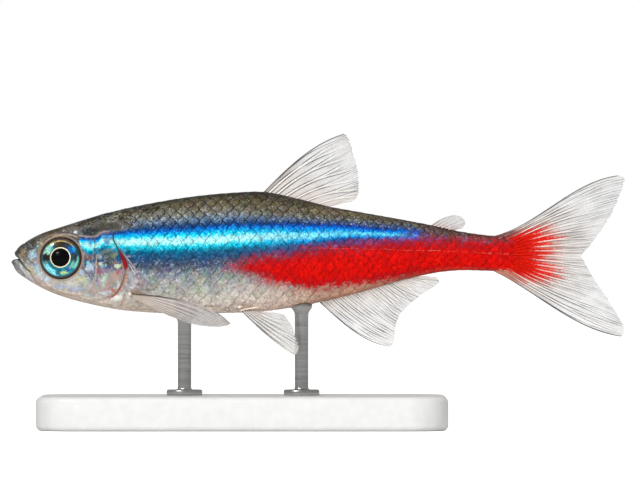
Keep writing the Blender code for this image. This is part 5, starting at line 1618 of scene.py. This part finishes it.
pelvic = fin_finish(
    "pelvic_membrane", "#E8D4C6", 0.55, 1.2, 1.05, 0.82, 6,
    lead=1.8, rest=0.45, narrow=0.20, web=0.55, rod=0.06, rod_left=0.3, again=0.10, front=0.6,
)
for side, hand in ((-1, "left"), (1, "right")):
    make_fin(
        "pectoral_fin_" + hand, pectoral, 10, 130, 60, on_line(PECTORAL_BASE), PECTORAL_TIPS,
        side=side, out=1.84, lean=(0.20, 0.05), thick=(0.024, 0.09, 1.0),
    )
    make_fin(
        "pelvic_fin_" + hand, pelvic, 7, 104, 56, on_line(PELVIC_BASE), PELVIC_TIPS,
        side=side, out=0.62, lean=(0.05, 0.42), thick=(0.024, 0.09, 0.8),
    )


# The fleshy roots of the paired fins: a bright muscle knob in front and a slim pale scale behind it.
# Each is a small round lump, drawn out along the fish and laid into the skin.
# Each root's name, place, half length, half height, lean in degrees, and how far it stands out
FIN_ROOTS = (
    ("pelvic_knob", 13.36, -3.88, 0.17, 0.10, -20, 0.05),
    ("pelvic_spike", 13.92, -3.97, 0.56, 0.045, -11, 0.045),
    ("pelvic_fold", 13.52, -4.06, 0.26, 0.06, -24, 0.03),
    ("pectoral_knob", 6.93, -3.13, 0.16, 0.10, -10, 0.06),
)
ROOT_HALF_THICK = 0.06
ROOT_TONES = ((0.32, "#DCBC9C"), (0.50, "#F2E2D2"), (0.64, "#FFFCF6"))

knobs, add, shader = new_finish("pale_flesh_of_fin_root")
patchy = add("TexNoise", add("TexCoord", give="Object"), 1 / (0.15 * MM), 2.0)
feed(shader, Base_Color=add("ValToRGB", patchy, stops=ROOT_TONES))
shader.inputs["Roughness"].default_value = 0.35

for kind, at_s, at_h, long, high, lean, out in FIN_ROOTS:
    for side, hand in ((-1, "left"), (1, "right")):
        lump = bmesh.new()
        bmesh.ops.create_uvsphere(lump, u_segments=16, v_segments=10, radius=1.0)
        bmesh.ops.scale(lump, vec=(long, ROOT_HALF_THICK, high), verts=lump.verts)
        bmesh.ops.rotate(lump, matrix=Matrix.Rotation(-math.radians(lean), 3, "Y"), verts=lump.verts)
        share = share_of_height(at_s, at_h) / 2
        at = np.array(at_s), np.array(share if side > 0 else 1 - share)
        away = on_grid(outward, *at)
        away = away / np.linalg.norm(away)
        up = np.cross(away, (1.0, 0.0, 0.0)) * side
        axes = np.array((np.cross(up, away) * side, away, up / np.linalg.norm(up)))
        middle = on_grid(skin_points, *at) + away * (COAT_DEPTH + out)
        for vertex in lump.verts:
            vertex.co = Vector(to_model(np.array(vertex.co) @ axes + middle))
        bmesh.ops.recalc_face_normals(lump, faces=lump.faces)
        new_piece(f"{kind}_{hand}", lump, knobs, "skin")


# The stand: a flat board with a satin white finish, its corners rounded and its edges eased, and two short
# turned rods of brushed steel. Each rod has a small foot on the board and a saddle that carries the belly.
BOARD_SIZE = (24.0, 13.0, 2.0)
BOARD_MIDDLE = 13.5
BOARD_CORNER, BOARD_EDGE = 2.5, 0.35
PEEL_TONES = ((0.3, "#E4E4E2"), (0.7, "#EAEAE8"))
STEEL_TONES = ((0.3, "#A9A9A8"), (0.7, "#C6C6C4"))
ROD_PLACES = {"stand_rod_front": 10.10, "stand_rod_rear": 16.95}
ROD_RADIUS, FOOT_RADIUS, FOOT_HIGH, FOOT_FILLET, FOOT_CUT = 0.40, 1.05, 0.35, 0.12, 0.06
SADDLE_RADIUS, SADDLE_HIGH = 0.62, 0.60
SADDLE_SUNK = 0.05
# The saddle's flare: shares of its width and of its height
SADDLE_FLARE = ((0.0, -0.20), (0.12, 0.05), (0.45, 0.24), (0.85, 0.42), (1.0, 0.62), (1.0, 1.0))
ROD_STEPS = 64

board, add, shader = new_finish("satin_white_lacquer")
# Sprayed lacquer lies in a faint orange peel, here of 0.6 mm
peel = add("TexNoise", add("TexCoord", give="Object"), 1 / (0.6 * MM), 2.0)
feed(shader, Base_Color=add("ValToRGB", peel, stops=PEEL_TONES))
feed(shader, Roughness=add("MapRange", peel, 0, 1, 0.34, 0.46))
feed(shader, Normal=add("Bump", 0.12, 0.02 * MM, None, peel))


def bevel_edges(sheet, edges, offset, segments):
    """Rounds these edges."""
    bmesh.ops.bevel(
        sheet, geom=edges, offset=offset, segments=segments, profile=0.5, affect="EDGES", material=-1,
    )


def rise_of(edge):
    """How far one end of an edge stands above the other."""
    return abs(edge.verts[0].co.z - edge.verts[1].co.z)


sheet = bmesh.new()
bmesh.ops.create_cube(sheet, size=1.0)
bmesh.ops.scale(sheet, vec=BOARD_SIZE, verts=sheet.verts)
bevel_edges(sheet, [edge for edge in sheet.edges if rise_of(edge) > 1.0], BOARD_CORNER, 14)
bevel_edges(sheet, [edge for edge in sheet.edges if rise_of(edge) < 0.1], BOARD_EDGE, 5)
bmesh.ops.scale(sheet, vec=(MM, MM, MM), verts=sheet.verts)
board_at = to_model((BOARD_MIDDLE, 0.0, -AXIS_HEIGHT + BOARD_SIZE[2] / 2))
bmesh.ops.translate(sheet, vec=Vector(board_at), verts=sheet.verts)
new_piece("stand_board", sheet, board, "stand_base", "stand_base")

steel, add, shader = new_finish("turned_stainless_steel")
# Turning leaves rings of 0.02 mm, drawn here at 0.09 mm so that they show
grooves = (1 / (3.0 * MM), 1 / (3.0 * MM), 1 / (0.09 * MM))
cut = add("TexNoise", add("Mapping", add("TexCoord", give="Object"), None, None, grooves), 1.0, 2.0)
feed(shader, Base_Color=add("ValToRGB", cut, stops=STEEL_TONES))
feed(shader, Roughness=add("MapRange", cut, 0, 1, 0.22, 0.40))
shader.inputs["Metallic"].default_value = 1.0


def under_belly(s, y):
    """Height of the body's underside at s, off to the side by y."""
    back, belly, half, square = (curve(BODY, s, column) for column in (1, 2, 3, 4))
    share = (1 - np.clip(np.abs(y) / half, 0, 1) ** square) ** (1 / square)
    return (back + belly) / 2 - (back - belly) / 2 * share


def rod_profile(low, top):
    """The outline of a rod, from the middle of its foot to the middle of its saddle."""
    shoulder = low + FOOT_HIGH
    outline = [(0.0, low), (FOOT_RADIUS - FOOT_CUT, low), (FOOT_RADIUS, low + FOOT_CUT)]
    outline += [(FOOT_RADIUS, shoulder - FOOT_CUT), (FOOT_RADIUS - FOOT_CUT, shoulder)]
    for turn in range(0, 91, 15):
        across, up = 1 - math.sin(math.radians(turn)), 1 - math.cos(math.radians(turn))
        outline.append((ROD_RADIUS + FOOT_FILLET * across, shoulder + FOOT_FILLET * up))
    outline.append((ROD_RADIUS, low + 2.0))
    for wide, up in SADDLE_FLARE:
        outline.append((ROD_RADIUS + (SADDLE_RADIUS - ROD_RADIUS) * wide, top - SADDLE_HIGH * (1 - up)))
    return outline + [(SADDLE_RADIUS * inward, top) for inward in (0.92, 0.7, 0.45, 0.2, 0.0)]


for name, at in ROD_PLACES.items():
    top = float(under_belly(np.array(at), np.array(SADDLE_RADIUS))) + SADDLE_SUNK
    rod = turned(rod_profile(BOARD_SIZE[2] - AXIS_HEIGHT, top), ROD_STEPS)
    for vertex in rod.verts:
        s, y, h = vertex.co.x + at, vertex.co.y, vertex.co.z
        # The saddle's top follows the belly
        if h > top - 0.02:
            h = float(under_belly(np.array(s), np.array(y))) + SADDLE_SUNK
        vertex.co = Vector(to_model((s, y, h)))
    new_piece(name.replace("stand_", "stand_steel_"), rod, steel, "stand_rod", name)
